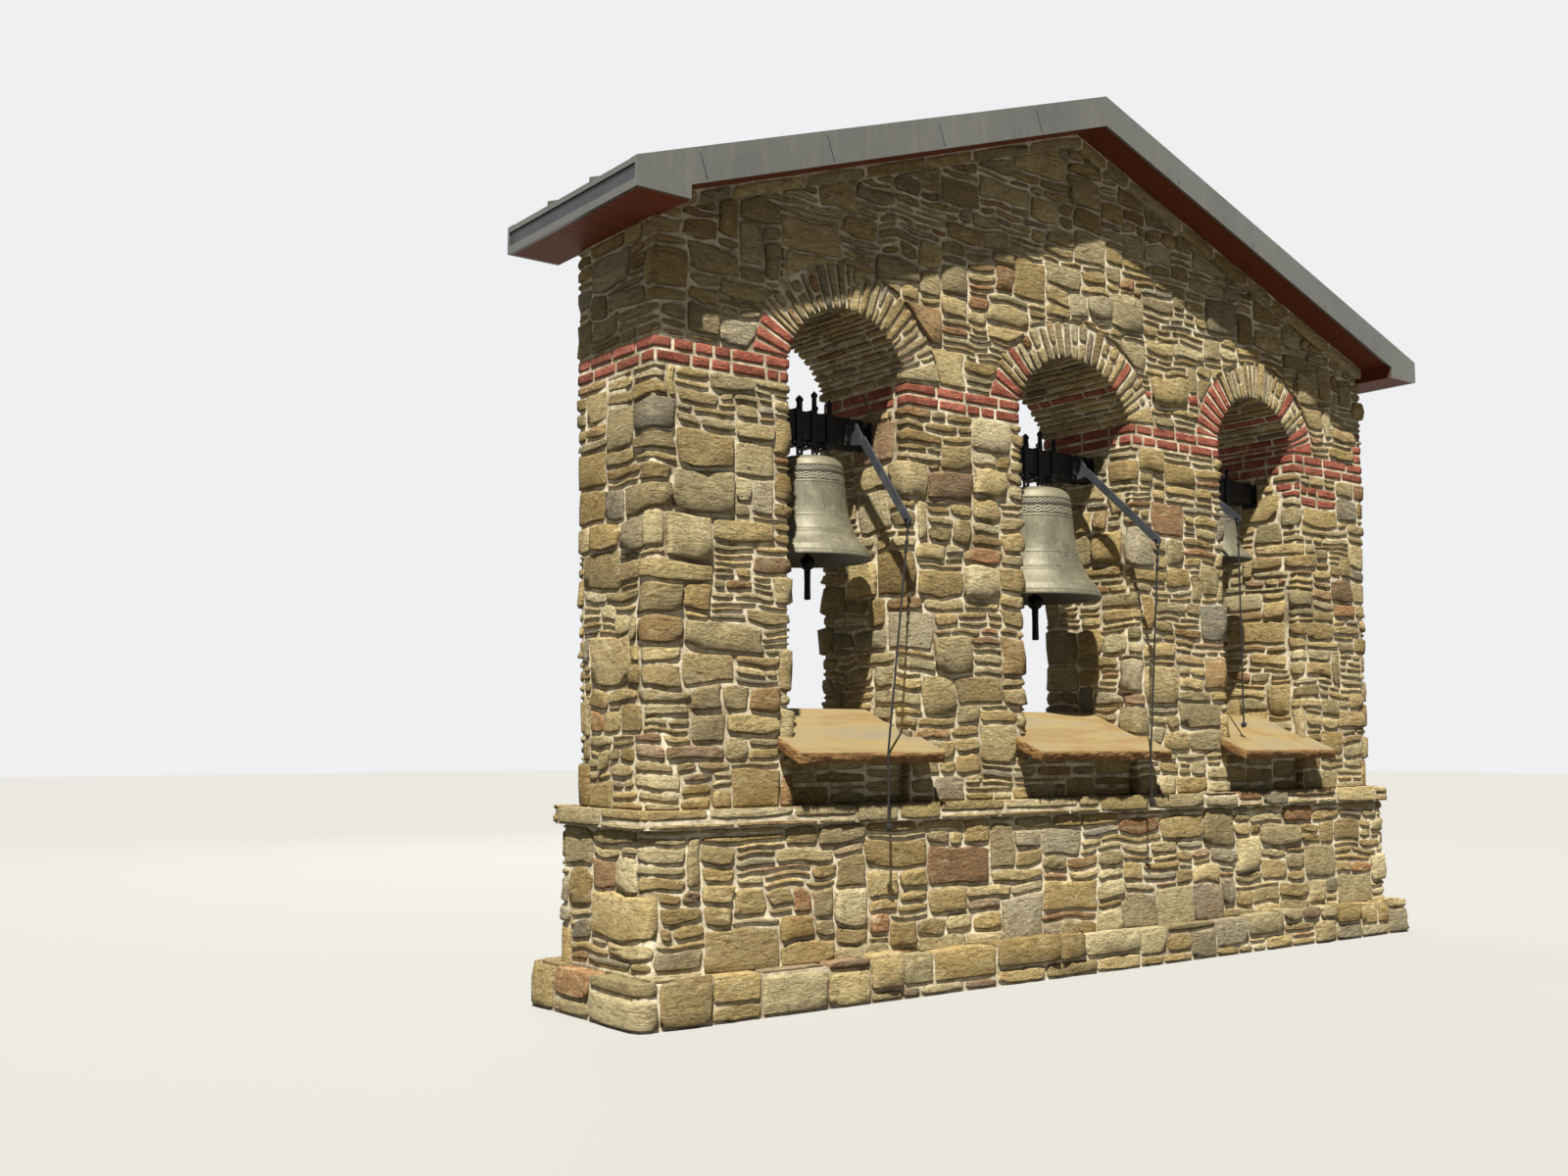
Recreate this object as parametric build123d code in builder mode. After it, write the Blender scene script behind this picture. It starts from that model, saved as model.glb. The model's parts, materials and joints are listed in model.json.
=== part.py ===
"""A free-standing stone bell wall with three arches, a low gable roof and three hung bells.

Millimetres, +Z up. The origin is on the ground under the middle of the wall.
+X runs along the wall, and the front of the wall faces -Y.
"""
import os
from math import atan2, cos, hypot, radians, sin, sqrt

from build123d import *

os.makedirs("parts", exist_ok=True)

# Plan of the wall
END_PIER = 900
MIDDLE_PIER = 960
SIDE_OPENING = 920
CENTRE_OPENING = 1100
WALL_THICKNESS = 800
PIER_CORNER_LOW = 150
PIER_CORNER_HIGH = 12
PIER_CORNER_CUTS = 5

# Base of the wall
PLINTH_HEIGHT = 230
PLINTH_REACH = 160
BASE_REACH = 50
BASE_CORNER = 60
LEDGE_TOP_Z = 1095
LEDGE_THICKNESS = 90
LEDGE_REACH = 90

# Piers, brick bands and arches
BAND_LOW_Z = 3500
BAND_HEIGHT = 154
CROWN_Z = 4020
RING_DEPTH = 250

# Sill slabs and the walls below them
SILL_NOSE_TOP_Z = 1400
SILL_RIDGE_Z = 1660
SILL_PROJECTION = 230
SILL_THICKNESS = 65
SILL_HORN = 75
SILL_RIDGE_JOINT = 6
APRON_RECESS = 60
BED_JOINT = 0.3

# Roof
ROOF_SLOPE = 19.09
SIDE_OVERHANG = 313
FRONT_OVERHANG = 320
ROOF_END_TOP_Z = 4471
EAVE_SOFFIT_Z = 4310
EAVE_BOX_LAP = 25
FASCIA_HEIGHT = 200
FASCIA_THICKNESS = 20
SOFFIT_DROP = 175
BOARD_THICKNESS = 20
SHEET_THICKNESS = 3
SEAM_HEIGHT = 25
SEAM_THICKNESS = 8
RIDGE_CAP_WIDTH = 260
VERGE_LAP = 70
EAVE_BOARD_THICKNESS = 15
EAVE_STRIP_HEIGHT = 45
EAVE_STRIP_THICKNESS = 10
DRIP_HEIGHT = 32

# Raking course of flat stones under the roof
RAKE_COURSE_HEIGHT = 70
RAKE_COURSE_PROJECTION = 60

# Headstocks, gudgeons and bearings
AXLE_Z = 3360
HEADSTOCK_TOP_Z = 3452
HEADSTOCK_DEPTH = 130
HEADSTOCK_EDGE = 8
GUDGEON_RADIUS = 22
GUDGEON_FIT = 0.05
BEARING_PLATE = 12
BEARING_PLATE_CORNER = 14
BEARING_WIDTH = 50
BEARING_RADIUS = 56
BEARING_END_GAP = 6
STRAP_WIDTH = 42
STRAP_THICKNESS = 10
FINIAL_NUT = 15
FINIAL_NUT_HEIGHT = 26
FINIAL_KNOB = 10
FINIAL_TIP = 5
FINIAL_TIP_HEIGHT = 22
FINIAL_RISE = 78
FINIAL_RISE_MIDDLE = 118

# Levers, shackles and ropes
LEVER_WIDTH = 52
LEVER_THICKNESS = 12
LEVER_PLATE_WIDTH = 110
LEVER_PLATE_THICKNESS = 10
SHACKLE_WIRE = 9
SHACKLE_PIN = 7
SHACKLE_BOW = 20
SHACKLE_LEG = 24
RUNNING_GAP = 0.3
ROPE_DIAMETER = 14
ROPE_KNOT_RADIUS = 22
ROPE_GAP = 0.9
ROPE_NOSE_RADIUS = 420

# Bells: the wall at the sound bow as a share of the mouth's radius, and the short straight cuts that
# each side's curve is turned in
SOUND_BOW_SHARE = 0.15
BELL_CUTS = 8

# Clappers
CLAPPER_PIN_RADIUS = 9
CLAPPER_EYE_RADIUS = 24
CLAPPER_EYE_WIDTH = 36
CLAPPER_SIDE_GAP = 2
STAPLE_EAR = 12

side_axis_x = CENTRE_OPENING / 2 + MIDDLE_PIER + SIDE_OPENING / 2
half_length = side_axis_x + SIDE_OPENING / 2 + END_PIER
half_thickness = WALL_THICKNESS / 2
band_top_z = BAND_LOW_Z + BAND_HEIGHT
ledge_low_z = LEDGE_TOP_Z - LEDGE_THICKNESS
slope_rise = sin(radians(ROOF_SLOPE)) / cos(radians(ROOF_SLOPE))
roof_end_x = half_length + SIDE_OVERHANG
roof_front_y = half_thickness + FRONT_OVERHANG

# One entry for each arch: the centre of its opening and the width of the opening
openings = [
    (-side_axis_x, SIDE_OPENING),
    (0, CENTRE_OPENING),
    (side_axis_x, SIDE_OPENING),
]

# One entry for each bell, from left to right. Lever and rope places are measured from the bell's axis.
bells = [
    {
        "mouth": 782, "lip_z": 2548, "shoulder_z": 3168, "beam_low_z": 3271,
        "ball_radius": 46, "tail_z": 2313, "tail_radius": 20,
        "lever_x": 296, "lever_start": (-178, 3296), "lever_end": (-582, 2760),
        "rope_nose": (66, -656, 1392), "rope_end_z": 985,
    },
    {
        "mouth": 902, "lip_z": 2421, "shoulder_z": 3169, "beam_low_z": 3271,
        "ball_radius": 54, "tail_z": 2146, "tail_radius": 23,
        "lever_x": 377, "lever_start": (-153, 3320), "lever_end": (-753, 2782),
        "rope_nose": (362, -668, 1392), "rope_end_z": 1075,
    },
    {
        "mouth": 550, "lip_z": 2828, "shoulder_z": 3205, "beam_low_z": 3290,
        "ball_radius": 34, "tail_z": 2640, "tail_radius": 15,
        "lever_x": -287, "lever_start": (-120, 3330), "lever_end": (-430, 3076),
        "rope_nose": None, "rope_end_z": 1580,
    },
]


def roof_top(x):
    """Height of the roof's upper face over a place along the wall."""
    return ROOF_END_TOP_Z + (roof_end_x - abs(x)) * slope_rise


def save(part, name):
    """Label a finished piece and write it out."""
    part.label = name
    export_step(part, f"parts/{name}.step")


def arch_circle(width):
    """Radius and centre height of the arch that rises from the band's top to the crown."""
    rise = CROWN_Z - band_top_z
    radius = ((width / 2) ** 2 + rise**2) / (2 * rise)
    return radius, CROWN_Z - radius


# Base: the plinth step, the base wall and the ledge of thin slabs
with BuildPart() as plinth:
    with BuildSketch():
        RectangleRounded(
            2 * (half_length + PLINTH_REACH), 2 * (half_thickness + PLINTH_REACH), BASE_CORNER
        )
    extrude(amount=PLINTH_HEIGHT)
save(plinth.part, "plinth")

with BuildPart() as base_wall:
    with BuildSketch(Plane.XY.offset(PLINTH_HEIGHT)):
        RectangleRounded(
            2 * (half_length + BASE_REACH), 2 * (half_thickness + BASE_REACH), BASE_CORNER
        )
    extrude(amount=ledge_low_z - PLINTH_HEIGHT)
save(base_wall.part, "base_wall")

with BuildPart() as ledge_course:
    with BuildSketch(Plane.XY.offset(ledge_low_z)):
        RectangleRounded(
            2 * (half_length + LEDGE_REACH), 2 * (half_thickness + LEDGE_REACH), BASE_CORNER
        )
    extrude(amount=LEDGE_THICKNESS)
    chamfer(ledge_course.faces().sort_by(Axis.Z)[-1].edges(), 14)
save(ledge_course.part, "ledge_course")

# Piers: the outer corners of the end piers are rounded low down and grow square towards the band
pier_spans = [(-half_length, -half_length + END_PIER)]
for axis_x, width in openings:
    pier_spans.append((axis_x + width / 2, axis_x + width / 2 + MIDDLE_PIER))
pier_spans[-1] = (half_length - END_PIER, half_length)
pier_names = ["pier_left", "pier_middle_left", "pier_middle_right", "pier_right"]

def pier_outline(x_low, x_high, corner):
    """Plan of a pier. A worn outer corner is a run of short cuts round an arc, so its faces stay flat."""
    points = []
    corners = [(x_low, -1), (x_high, -1), (x_high, 1), (x_low, 1)]
    for index, (x, side_y) in enumerate(corners):
        y = side_y * half_thickness
        if abs(x) < half_length:
            points.append((x, y))
            continue
        inward_x = -1 if x > 0 else 1
        cuts = []
        for step in range(PIER_CORNER_CUTS + 1):
            angle = radians(90 * step / PIER_CORNER_CUTS)
            cut_x = x + inward_x * corner * (1 - cos(angle))
            cut_y = y - side_y * corner * (1 - sin(angle))
            cuts.append((cut_x, cut_y))
        points += cuts if index % 2 == 0 else cuts[::-1]
    return points


for name, (x_low, x_high) in zip(pier_names, pier_spans):
    with BuildPart() as pier:
        for height, corner in [(LEDGE_TOP_Z, PIER_CORNER_LOW), (BAND_LOW_Z, PIER_CORNER_HIGH)]:
            with BuildSketch(Plane.XY.offset(height)):
                Polygon(*pier_outline(x_low, x_high, corner), align=None)
        loft(ruled=True)
    save(pier.part, name)

with BuildPart() as brick_bands:
    with BuildSketch(Plane.XY.offset(BAND_LOW_Z)):
        for x_low, x_high in pier_spans:
            with Locations(((x_low + x_high) / 2, 0)):
                Rectangle(x_high - x_low, WALL_THICKNESS)
    extrude(amount=BAND_HEIGHT)
save(brick_bands.part, "brick_bands")

# Arch rings stand on the bands, and the wall above is cut to their outer edge
ring_names = ["arch_ring_left", "arch_ring_centre", "arch_ring_right"]
for name, (axis_x, width) in zip(ring_names, openings):
    radius, centre_z = arch_circle(width)
    with BuildPart() as arch_ring:
        with BuildSketch(Plane.XZ):
            with Locations((axis_x, centre_z)):
                Circle(radius + RING_DEPTH)
                Circle(radius, mode=Mode.SUBTRACT)
            with Locations((axis_x, band_top_z)):
                Rectangle(
                    4 * radius, 4 * radius, align=(Align.CENTER, Align.MAX), mode=Mode.SUBTRACT
                )
        extrude(amount=half_thickness, both=True)
    save(arch_ring.part, name)

with BuildPart() as spandrel_wall:
    with BuildSketch(Plane.XZ):
        with Locations((0, band_top_z)):
            Rectangle(
                2 * half_length, EAVE_SOFFIT_Z - band_top_z, align=(Align.CENTER, Align.MIN)
            )
        for axis_x, width in openings:
            radius, centre_z = arch_circle(width)
            with Locations((axis_x, centre_z)):
                Circle(radius + RING_DEPTH, mode=Mode.SUBTRACT)
    extrude(amount=half_thickness, both=True)
save(spandrel_wall.part, "spandrel_wall")

box_inner_x = half_length - EAVE_BOX_LAP
soffit_back = SOFFIT_DROP - BOARD_THICKNESS
with BuildPart() as gable_wall:
    with BuildSketch(Plane.XZ):
        Polygon(
            (-box_inner_x, EAVE_SOFFIT_Z),
            (box_inner_x, EAVE_SOFFIT_Z),
            (box_inner_x, roof_top(box_inner_x) - soffit_back),
            (0, roof_top(0) - soffit_back),
            (-box_inner_x, roof_top(box_inner_x) - soffit_back),
            align=None,
        )
    extrude(amount=half_thickness, both=True)
save(gable_wall.part, "gable_wall")

# Sills: two slabs fall from a ridge over the middle of the wall, with horns outside the jambs
sill_nose_y = half_thickness + SILL_PROJECTION
sill_fall = (SILL_RIDGE_Z - SILL_NOSE_TOP_Z) / sill_nose_y
sill_drop = SILL_THICKNESS * sqrt(1 + sill_fall**2)
horn_gap = 1
with BuildPart() as sills:
    for axis_x, width in openings:
        for side in (-1, 1):
            ridge_y = side * SILL_RIDGE_JOINT / 2
            nose_y = side * sill_nose_y
            under_y = side * (sill_nose_y - SILL_THICKNESS * sin(atan2(sill_fall, 1)))
            under_z = SILL_NOSE_TOP_Z - SILL_THICKNESS * cos(atan2(sill_fall, 1))
            ridge_z = SILL_RIDGE_Z - sill_fall * SILL_RIDGE_JOINT / 2
            with BuildSketch(Plane.YZ.offset(axis_x)):
                Polygon(
                    (ridge_y, ridge_z),
                    (nose_y, SILL_NOSE_TOP_Z),
                    (under_y, under_z),
                    (ridge_y, ridge_z - sill_drop),
                    align=None,
                )
            extrude(amount=width / 2 - horn_gap, both=True)
            with BuildSketch(Plane.YZ.offset(axis_x)):
                horn_y = side * (half_thickness + horn_gap)
                horn_z = SILL_RIDGE_Z - sill_fall * (half_thickness + horn_gap)
                Polygon(
                    (horn_y, horn_z),
                    (nose_y, SILL_NOSE_TOP_Z),
                    (under_y, under_z),
                    (horn_y, horn_z - sill_drop),
                    align=None,
                )
            extrude(amount=width / 2 + SILL_HORN, both=True)
save(sills.part, "sills")

with BuildPart() as aprons:
    apron_y = half_thickness - APRON_RECESS
    apron_edge_z = SILL_RIDGE_Z - sill_fall * apron_y - sill_drop - BED_JOINT
    apron_ridge_z = SILL_RIDGE_Z - sill_drop - BED_JOINT
    for axis_x, width in openings:
        with BuildSketch(Plane.YZ.offset(axis_x)):
            Polygon(
                (-apron_y, LEDGE_TOP_Z),
                (apron_y, LEDGE_TOP_Z),
                (apron_y, apron_edge_z),
                (0, apron_ridge_z),
                (-apron_y, apron_edge_z),
                align=None,
            )
        extrude(amount=width / 2, both=True)
save(aprons.part, "aprons")

# Raking course: a thin stone course under each soffit, front and back
with BuildPart() as raking_courses:
    rake_end_x = box_inner_x - 12
    for side in (-1, 1):
        face_y = side * (half_thickness + RAKE_COURSE_PROJECTION / 2)
        with BuildSketch(Plane.XZ.offset(-face_y)):
            Polygon(
                (-rake_end_x, roof_top(rake_end_x) - SOFFIT_DROP - BED_JOINT),
                (0, roof_top(0) - SOFFIT_DROP - BED_JOINT),
                (rake_end_x, roof_top(rake_end_x) - SOFFIT_DROP - BED_JOINT),
                (rake_end_x, roof_top(rake_end_x) - SOFFIT_DROP - RAKE_COURSE_HEIGHT),
                (0, roof_top(0) - SOFFIT_DROP - RAKE_COURSE_HEIGHT),
                (-rake_end_x, roof_top(rake_end_x) - SOFFIT_DROP - RAKE_COURSE_HEIGHT),
                align=None,
            )
        extrude(amount=RAKE_COURSE_PROJECTION / 2, both=True)
save(raking_courses.part, "raking_courses")

# Roof: a boarded timber core, sheet metal above, boards below, and metal round the edges
core_end_x = roof_end_x - EAVE_STRIP_THICKNESS - EAVE_BOARD_THICKNESS
fascia_back_y = roof_front_y - FASCIA_THICKNESS
with BuildPart() as roof_core:
    with BuildSketch(Plane.XZ):
        Polygon(
            (-core_end_x, roof_top(core_end_x) - SHEET_THICKNESS),
            (0, roof_top(0) - SHEET_THICKNESS),
            (core_end_x, roof_top(core_end_x) - SHEET_THICKNESS),
            (core_end_x, roof_top(core_end_x) - soffit_back),
            (0, roof_top(0) - soffit_back),
            (-core_end_x, roof_top(core_end_x) - soffit_back),
            align=None,
        )
    extrude(amount=fascia_back_y, both=True)
save(roof_core.part, "roof_core")

with BuildPart() as soffit_boards:
    for side in (-1, 1):
        middle_y = side * (half_thickness + fascia_back_y) / 2
        with BuildSketch(Plane.XZ.offset(-middle_y)):
            Polygon(
                (-box_inner_x, roof_top(box_inner_x) - soffit_back),
                (0, roof_top(0) - soffit_back),
                (box_inner_x, roof_top(box_inner_x) - soffit_back),
                (box_inner_x, roof_top(box_inner_x) - SOFFIT_DROP),
                (0, roof_top(0) - SOFFIT_DROP),
                (-box_inner_x, roof_top(box_inner_x) - SOFFIT_DROP),
                align=None,
            )
        extrude(amount=(fascia_back_y - half_thickness) / 2, both=True)
save(soffit_boards.part, "soffit_boards")

with BuildPart() as eave_boxes:
    for side in (-1, 1):
        with BuildSketch(Plane.XZ):
            Polygon(
                (side * core_end_x, EAVE_SOFFIT_Z),
                (side * box_inner_x, EAVE_SOFFIT_Z),
                (side * box_inner_x, roof_top(box_inner_x) - soffit_back),
                (side * core_end_x, roof_top(core_end_x) - soffit_back),
                align=None,
            )
        extrude(amount=fascia_back_y, both=True)
save(eave_boxes.part, "eave_boxes")

with BuildPart() as eave_boards:
    for side in (-1, 1):
        board_x = side * (core_end_x + EAVE_BOARD_THICKNESS / 2)
        board_top_z = roof_top(roof_end_x) - SHEET_THICKNESS - 1
        with BuildSketch(Plane.XZ):
            with Locations((board_x, EAVE_SOFFIT_Z)):
                Rectangle(
                    EAVE_BOARD_THICKNESS,
                    board_top_z - EAVE_SOFFIT_Z,
                    align=(Align.CENTER, Align.MIN),
                )
        extrude(amount=fascia_back_y, both=True)
save(eave_boards.part, "eave_boards")

with BuildPart() as eave_strips:
    for side in (-1, 1):
        strip_x = side * (roof_end_x - EAVE_STRIP_THICKNESS / 2)
        with BuildSketch(Plane.XZ):
            with Locations((strip_x, EAVE_SOFFIT_Z)):
                Rectangle(
                    EAVE_STRIP_THICKNESS, EAVE_STRIP_HEIGHT, align=(Align.CENTER, Align.MIN)
                )
        extrude(amount=fascia_back_y, both=True)
save(eave_strips.part, "eave_strips")

# Each half of the sheet roof turns down at the eave and carries two standing seams
sheet_inner_x = roof_end_x - SHEET_THICKNESS
for side, name in [(-1, "roof_sheet_left"), (1, "roof_sheet_right")]:
    with BuildPart() as roof_sheet:
        with BuildSketch(Plane.XZ):
            Polygon(
                (0, roof_top(0)),
                (side * roof_end_x, roof_top(roof_end_x)),
                (side * roof_end_x, roof_top(roof_end_x) - DRIP_HEIGHT),
                (side * sheet_inner_x, roof_top(roof_end_x) - DRIP_HEIGHT),
                (side * sheet_inner_x, roof_top(sheet_inner_x) - SHEET_THICKNESS),
                (0, roof_top(0) - SHEET_THICKNESS),
                align=None,
            )
        extrude(amount=fascia_back_y, both=True)
        for seam_y in (-fascia_back_y / 3, fascia_back_y / 3):
            seam_start_x = RIDGE_CAP_WIDTH / 2
            with BuildSketch(Plane.XZ.offset(-seam_y)):
                Polygon(
                    (side * seam_start_x, roof_top(seam_start_x) - 1),
                    (side * seam_start_x, roof_top(seam_start_x) + SEAM_HEIGHT),
                    (side * roof_end_x, roof_top(roof_end_x) + SEAM_HEIGHT),
                    (side * roof_end_x, roof_top(roof_end_x) - 1),
                    align=None,
                )
            extrude(amount=SEAM_THICKNESS / 2, both=True)
    save(roof_sheet.part, name)

with BuildPart() as ridge_cap:
    with BuildSketch(Plane.XZ):
        cap_x = RIDGE_CAP_WIDTH / 2 - 1
        Polygon(
            (-cap_x, roof_top(cap_x)),
            (0, roof_top(0)),
            (cap_x, roof_top(cap_x)),
            (cap_x, roof_top(cap_x) + SHEET_THICKNESS),
            (0, roof_top(0) + SHEET_THICKNESS),
            (-cap_x, roof_top(cap_x) + SHEET_THICKNESS),
            align=None,
        )
    extrude(amount=fascia_back_y - VERGE_LAP, both=True)
save(ridge_cap.part, "ridge_cap")

# Verge fascias: tall metal faces with a lap over the sheet and a step down to the boxed eaves
for side, name in [(-1, "verge_fascia_front"), (1, "verge_fascia_back")]:
    with BuildPart() as verge_fascia:
        with BuildSketch(Plane.XZ.offset(-side * (roof_front_y - FASCIA_THICKNESS / 2))):
            Polygon(
                (-roof_end_x, roof_top(roof_end_x)),
                (0, roof_top(0)),
                (roof_end_x, roof_top(roof_end_x)),
                (roof_end_x, EAVE_SOFFIT_Z),
                (box_inner_x, EAVE_SOFFIT_Z),
                (box_inner_x, roof_top(box_inner_x) - FASCIA_HEIGHT),
                (0, roof_top(0) - FASCIA_HEIGHT),
                (-box_inner_x, roof_top(box_inner_x) - FASCIA_HEIGHT),
                (-box_inner_x, EAVE_SOFFIT_Z),
                (-roof_end_x, EAVE_SOFFIT_Z),
                align=None,
            )
        extrude(amount=FASCIA_THICKNESS / 2, both=True)
        with BuildSketch(Plane.XZ.offset(-side * (roof_front_y - VERGE_LAP / 2))):
            Polygon(
                (-roof_end_x, roof_top(roof_end_x)),
                (0, roof_top(0)),
                (roof_end_x, roof_top(roof_end_x)),
                (roof_end_x, roof_top(roof_end_x) + SHEET_THICKNESS),
                (0, roof_top(0) + SHEET_THICKNESS),
                (-roof_end_x, roof_top(roof_end_x) + SHEET_THICKNESS),
                align=None,
            )
        extrude(amount=VERGE_LAP / 2, both=True)
    save(verge_fascia.part, name)


# The knot at a rope's end, a barrel about the origin
with BuildPart() as knot_part:
    with BuildSketch(Plane.XZ):
        Polygon(
            (0, -ROPE_KNOT_RADIUS),
            (0.6 * ROPE_KNOT_RADIUS, -ROPE_KNOT_RADIUS),
            (ROPE_KNOT_RADIUS, -0.4 * ROPE_KNOT_RADIUS),
            (ROPE_KNOT_RADIUS, 0.4 * ROPE_KNOT_RADIUS),
            (0.6 * ROPE_KNOT_RADIUS, ROPE_KNOT_RADIUS),
            (0, ROPE_KNOT_RADIUS),
            align=None,
        )
    revolve(axis=Axis.Z)
knot = knot_part.part

# Bells with their headstocks, straps, levers, shackles, clappers, bearings and ropes
for number, (bell, (axis_x, width)) in enumerate(zip(bells, openings), start=1):
    mouth_radius = bell["mouth"] / 2
    lip_z = bell["lip_z"]
    shoulder_z = bell["shoulder_z"]
    height = shoulder_z - lip_z
    beam_low_z = bell["beam_low_z"]
    crown_z = shoulder_z + 0.03 * mouth_radius
    bow = SOUND_BOW_SHARE * mouth_radius
    bell_plane = Plane(origin=(axis_x, 0, lip_z), x_dir=(1, 0, 0), z_dir=(0, -1, 0))
    bell_axis = Axis((axis_x, 0, 0), (0, 0, 1))
    crown_inner = height - 0.09 * mouth_radius
    pivot_z = lip_z + crown_inner - 0.17 * mouth_radius
    loop_bar = 0.045 * mouth_radius
    loop_top_z = beam_low_z - RUNNING_GAP
    loop_spread = 0.30 * mouth_radius
    loop_half = 0.11 * mouth_radius

    with BuildPart() as bell_body:
        with BuildSketch(bell_plane):
            with BuildLine():
                outside = Spline(
                    (0.965 * mouth_radius, 0.07 * height),
                    (0.80 * mouth_radius, 0.20 * height),
                    (0.655 * mouth_radius, 0.42 * height),
                    (0.59 * mouth_radius, 0.70 * height),
                    (0.555 * mouth_radius, 0.93 * height),
                    (0.50 * mouth_radius, height - 0.01 * mouth_radius),
                    (0.40 * mouth_radius, crown_z - lip_z),
                    mode=Mode.PRIVATE,
                )
                inside = Spline(
                    (0.45 * mouth_radius, crown_inner),
                    (0.53 * mouth_radius, 0.68 * height),
                    (0.59 * mouth_radius, 0.42 * height),
                    (0.70 * mouth_radius, 0.20 * height),
                    (mouth_radius - bow, 0.06 * height),
                    mode=Mode.PRIVATE,
                )
                Polyline(
                    (mouth_radius, 0),
                    *[outside @ (cut / BELL_CUTS) for cut in range(BELL_CUTS + 1)],
                    (0, crown_z - lip_z),
                    (0, crown_inner),
                    *[inside @ (cut / BELL_CUTS) for cut in range(BELL_CUTS + 1)],
                    (mouth_radius - 0.35 * bow, 0),
                    (mouth_radius, 0),
                )
            make_face()
        revolve(axis=bell_axis)
        # Crown loops: three arches across the beam, through which the straps pass
        for place in (-1, 0, 1):
            loop_x = axis_x + place * loop_spread
            loop_rise = loop_top_z - loop_half - loop_bar / 2
            with BuildSketch(Plane.XZ):
                with Locations((loop_x, loop_rise)):
                    Circle(loop_half + loop_bar / 2)
                with Locations((loop_x, loop_rise)):
                    Rectangle(
                        2 * loop_half + loop_bar,
                        loop_rise - crown_z + 0.06 * mouth_radius,
                        align=(Align.CENTER, Align.MAX),
                    )
                with Locations((loop_x, loop_rise)):
                    Circle(loop_half - loop_bar / 2, mode=Mode.SUBTRACT)
                with Locations((loop_x, loop_rise)):
                    Rectangle(
                        2 * loop_half - loop_bar,
                        loop_rise - crown_z,
                        align=(Align.CENTER, Align.MAX),
                        mode=Mode.SUBTRACT,
                    )
            extrude(amount=0.6 * loop_bar, both=True)
        # Staple for the clapper: two ears under the crown with a pin across
        ear_x = CLAPPER_EYE_WIDTH / 2 + CLAPPER_SIDE_GAP + STAPLE_EAR / 2
        for side in (-1, 1):
            with BuildSketch(Plane.YZ.offset(axis_x + side * ear_x)):
                with Locations((0, pivot_z)):
                    Circle(CLAPPER_PIN_RADIUS + STAPLE_EAR)
                    Rectangle(
                        2 * (CLAPPER_PIN_RADIUS + STAPLE_EAR),
                        lip_z + crown_inner + 2 - pivot_z,
                        align=(Align.CENTER, Align.MIN),
                    )
            extrude(amount=STAPLE_EAR / 2, both=True)
        with BuildSketch(Plane.YZ.offset(axis_x)):
            with Locations((0, pivot_z)):
                Circle(CLAPPER_PIN_RADIUS)
        extrude(amount=ear_x, both=True)
    save(bell_body.part, f"bell_{number}")

    with BuildPart() as clapper:
        ball_z = lip_z - 0.02 * height
        ball_radius = bell["ball_radius"]
        tail_radius = bell["tail_radius"]
        rod_radius = 0.62 * tail_radius
        with BuildSketch(Plane(origin=(axis_x, 0, 0), x_dir=(1, 0, 0), z_dir=(0, -1, 0))):
            with BuildLine():
                rod_end_z = ball_z + sqrt(ball_radius**2 - rod_radius**2)
                tail_start_z = ball_z - sqrt(ball_radius**2 - tail_radius**2)
                rod = Polyline(
                    (0, pivot_z - CLAPPER_EYE_RADIUS + 6),
                    (rod_radius, pivot_z - CLAPPER_EYE_RADIUS + 6),
                    (rod_radius, rod_end_z),
                )
                ball = ThreePointArc(rod @ 1, (ball_radius, ball_z), (tail_radius, tail_start_z))
                Polyline(ball @ 1, (tail_radius, bell["tail_z"]), (0, bell["tail_z"]), rod @ 0)
            make_face()
        revolve(axis=bell_axis)
        with BuildSketch(Plane.YZ.offset(axis_x)):
            with Locations((0, pivot_z)):
                Circle(CLAPPER_EYE_RADIUS)
        extrude(amount=CLAPPER_EYE_WIDTH / 2, both=True)
        with BuildSketch(Plane.YZ.offset(axis_x)):
            with Locations((0, pivot_z)):
                Circle(CLAPPER_PIN_RADIUS + GUDGEON_FIT)
        extrude(amount=CLAPPER_EYE_WIDTH, both=True, mode=Mode.SUBTRACT)
    save(clapper.part, f"clapper_{number}")

    # Headstock: a dark beam with a round gudgeon at each end
    beam_half = width / 2 - BEARING_PLATE - BEARING_WIDTH - BEARING_END_GAP
    with BuildPart() as headstock:
        with BuildSketch(Plane.YZ.offset(axis_x)):
            with Locations((0, (beam_low_z + HEADSTOCK_TOP_Z) / 2)):
                beam = Rectangle(HEADSTOCK_DEPTH, HEADSTOCK_TOP_Z - beam_low_z)
            chamfer(beam.vertices(), HEADSTOCK_EDGE)
        extrude(amount=beam_half, both=True)
        with BuildSketch(Plane.YZ.offset(axis_x)):
            with Locations((0, AXLE_Z)):
                Circle(GUDGEON_RADIUS)
        extrude(amount=width / 2 - BEARING_PLATE - 2, both=True)
    save(headstock.part, f"headstock_{number}")

    with BuildPart() as bearings:
        for side in (-1, 1):
            jamb_x = axis_x + side * width / 2
            plate_plane = Plane(origin=(jamb_x, 0, AXLE_Z), x_dir=(0, 1, 0), z_dir=(-side, 0, 0))
            with BuildSketch(plate_plane):
                plate = Rectangle(2.4 * BEARING_RADIUS, 3.2 * BEARING_RADIUS)
                chamfer(plate.vertices(), BEARING_PLATE_CORNER)
            extrude(amount=BEARING_PLATE)
            with BuildSketch(plate_plane.offset(BEARING_PLATE)):
                Circle(BEARING_RADIUS)
                Circle(GUDGEON_RADIUS + GUDGEON_FIT, mode=Mode.SUBTRACT)
            extrude(amount=BEARING_WIDTH)
    save(bearings.part, f"bearings_{number}")

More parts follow.
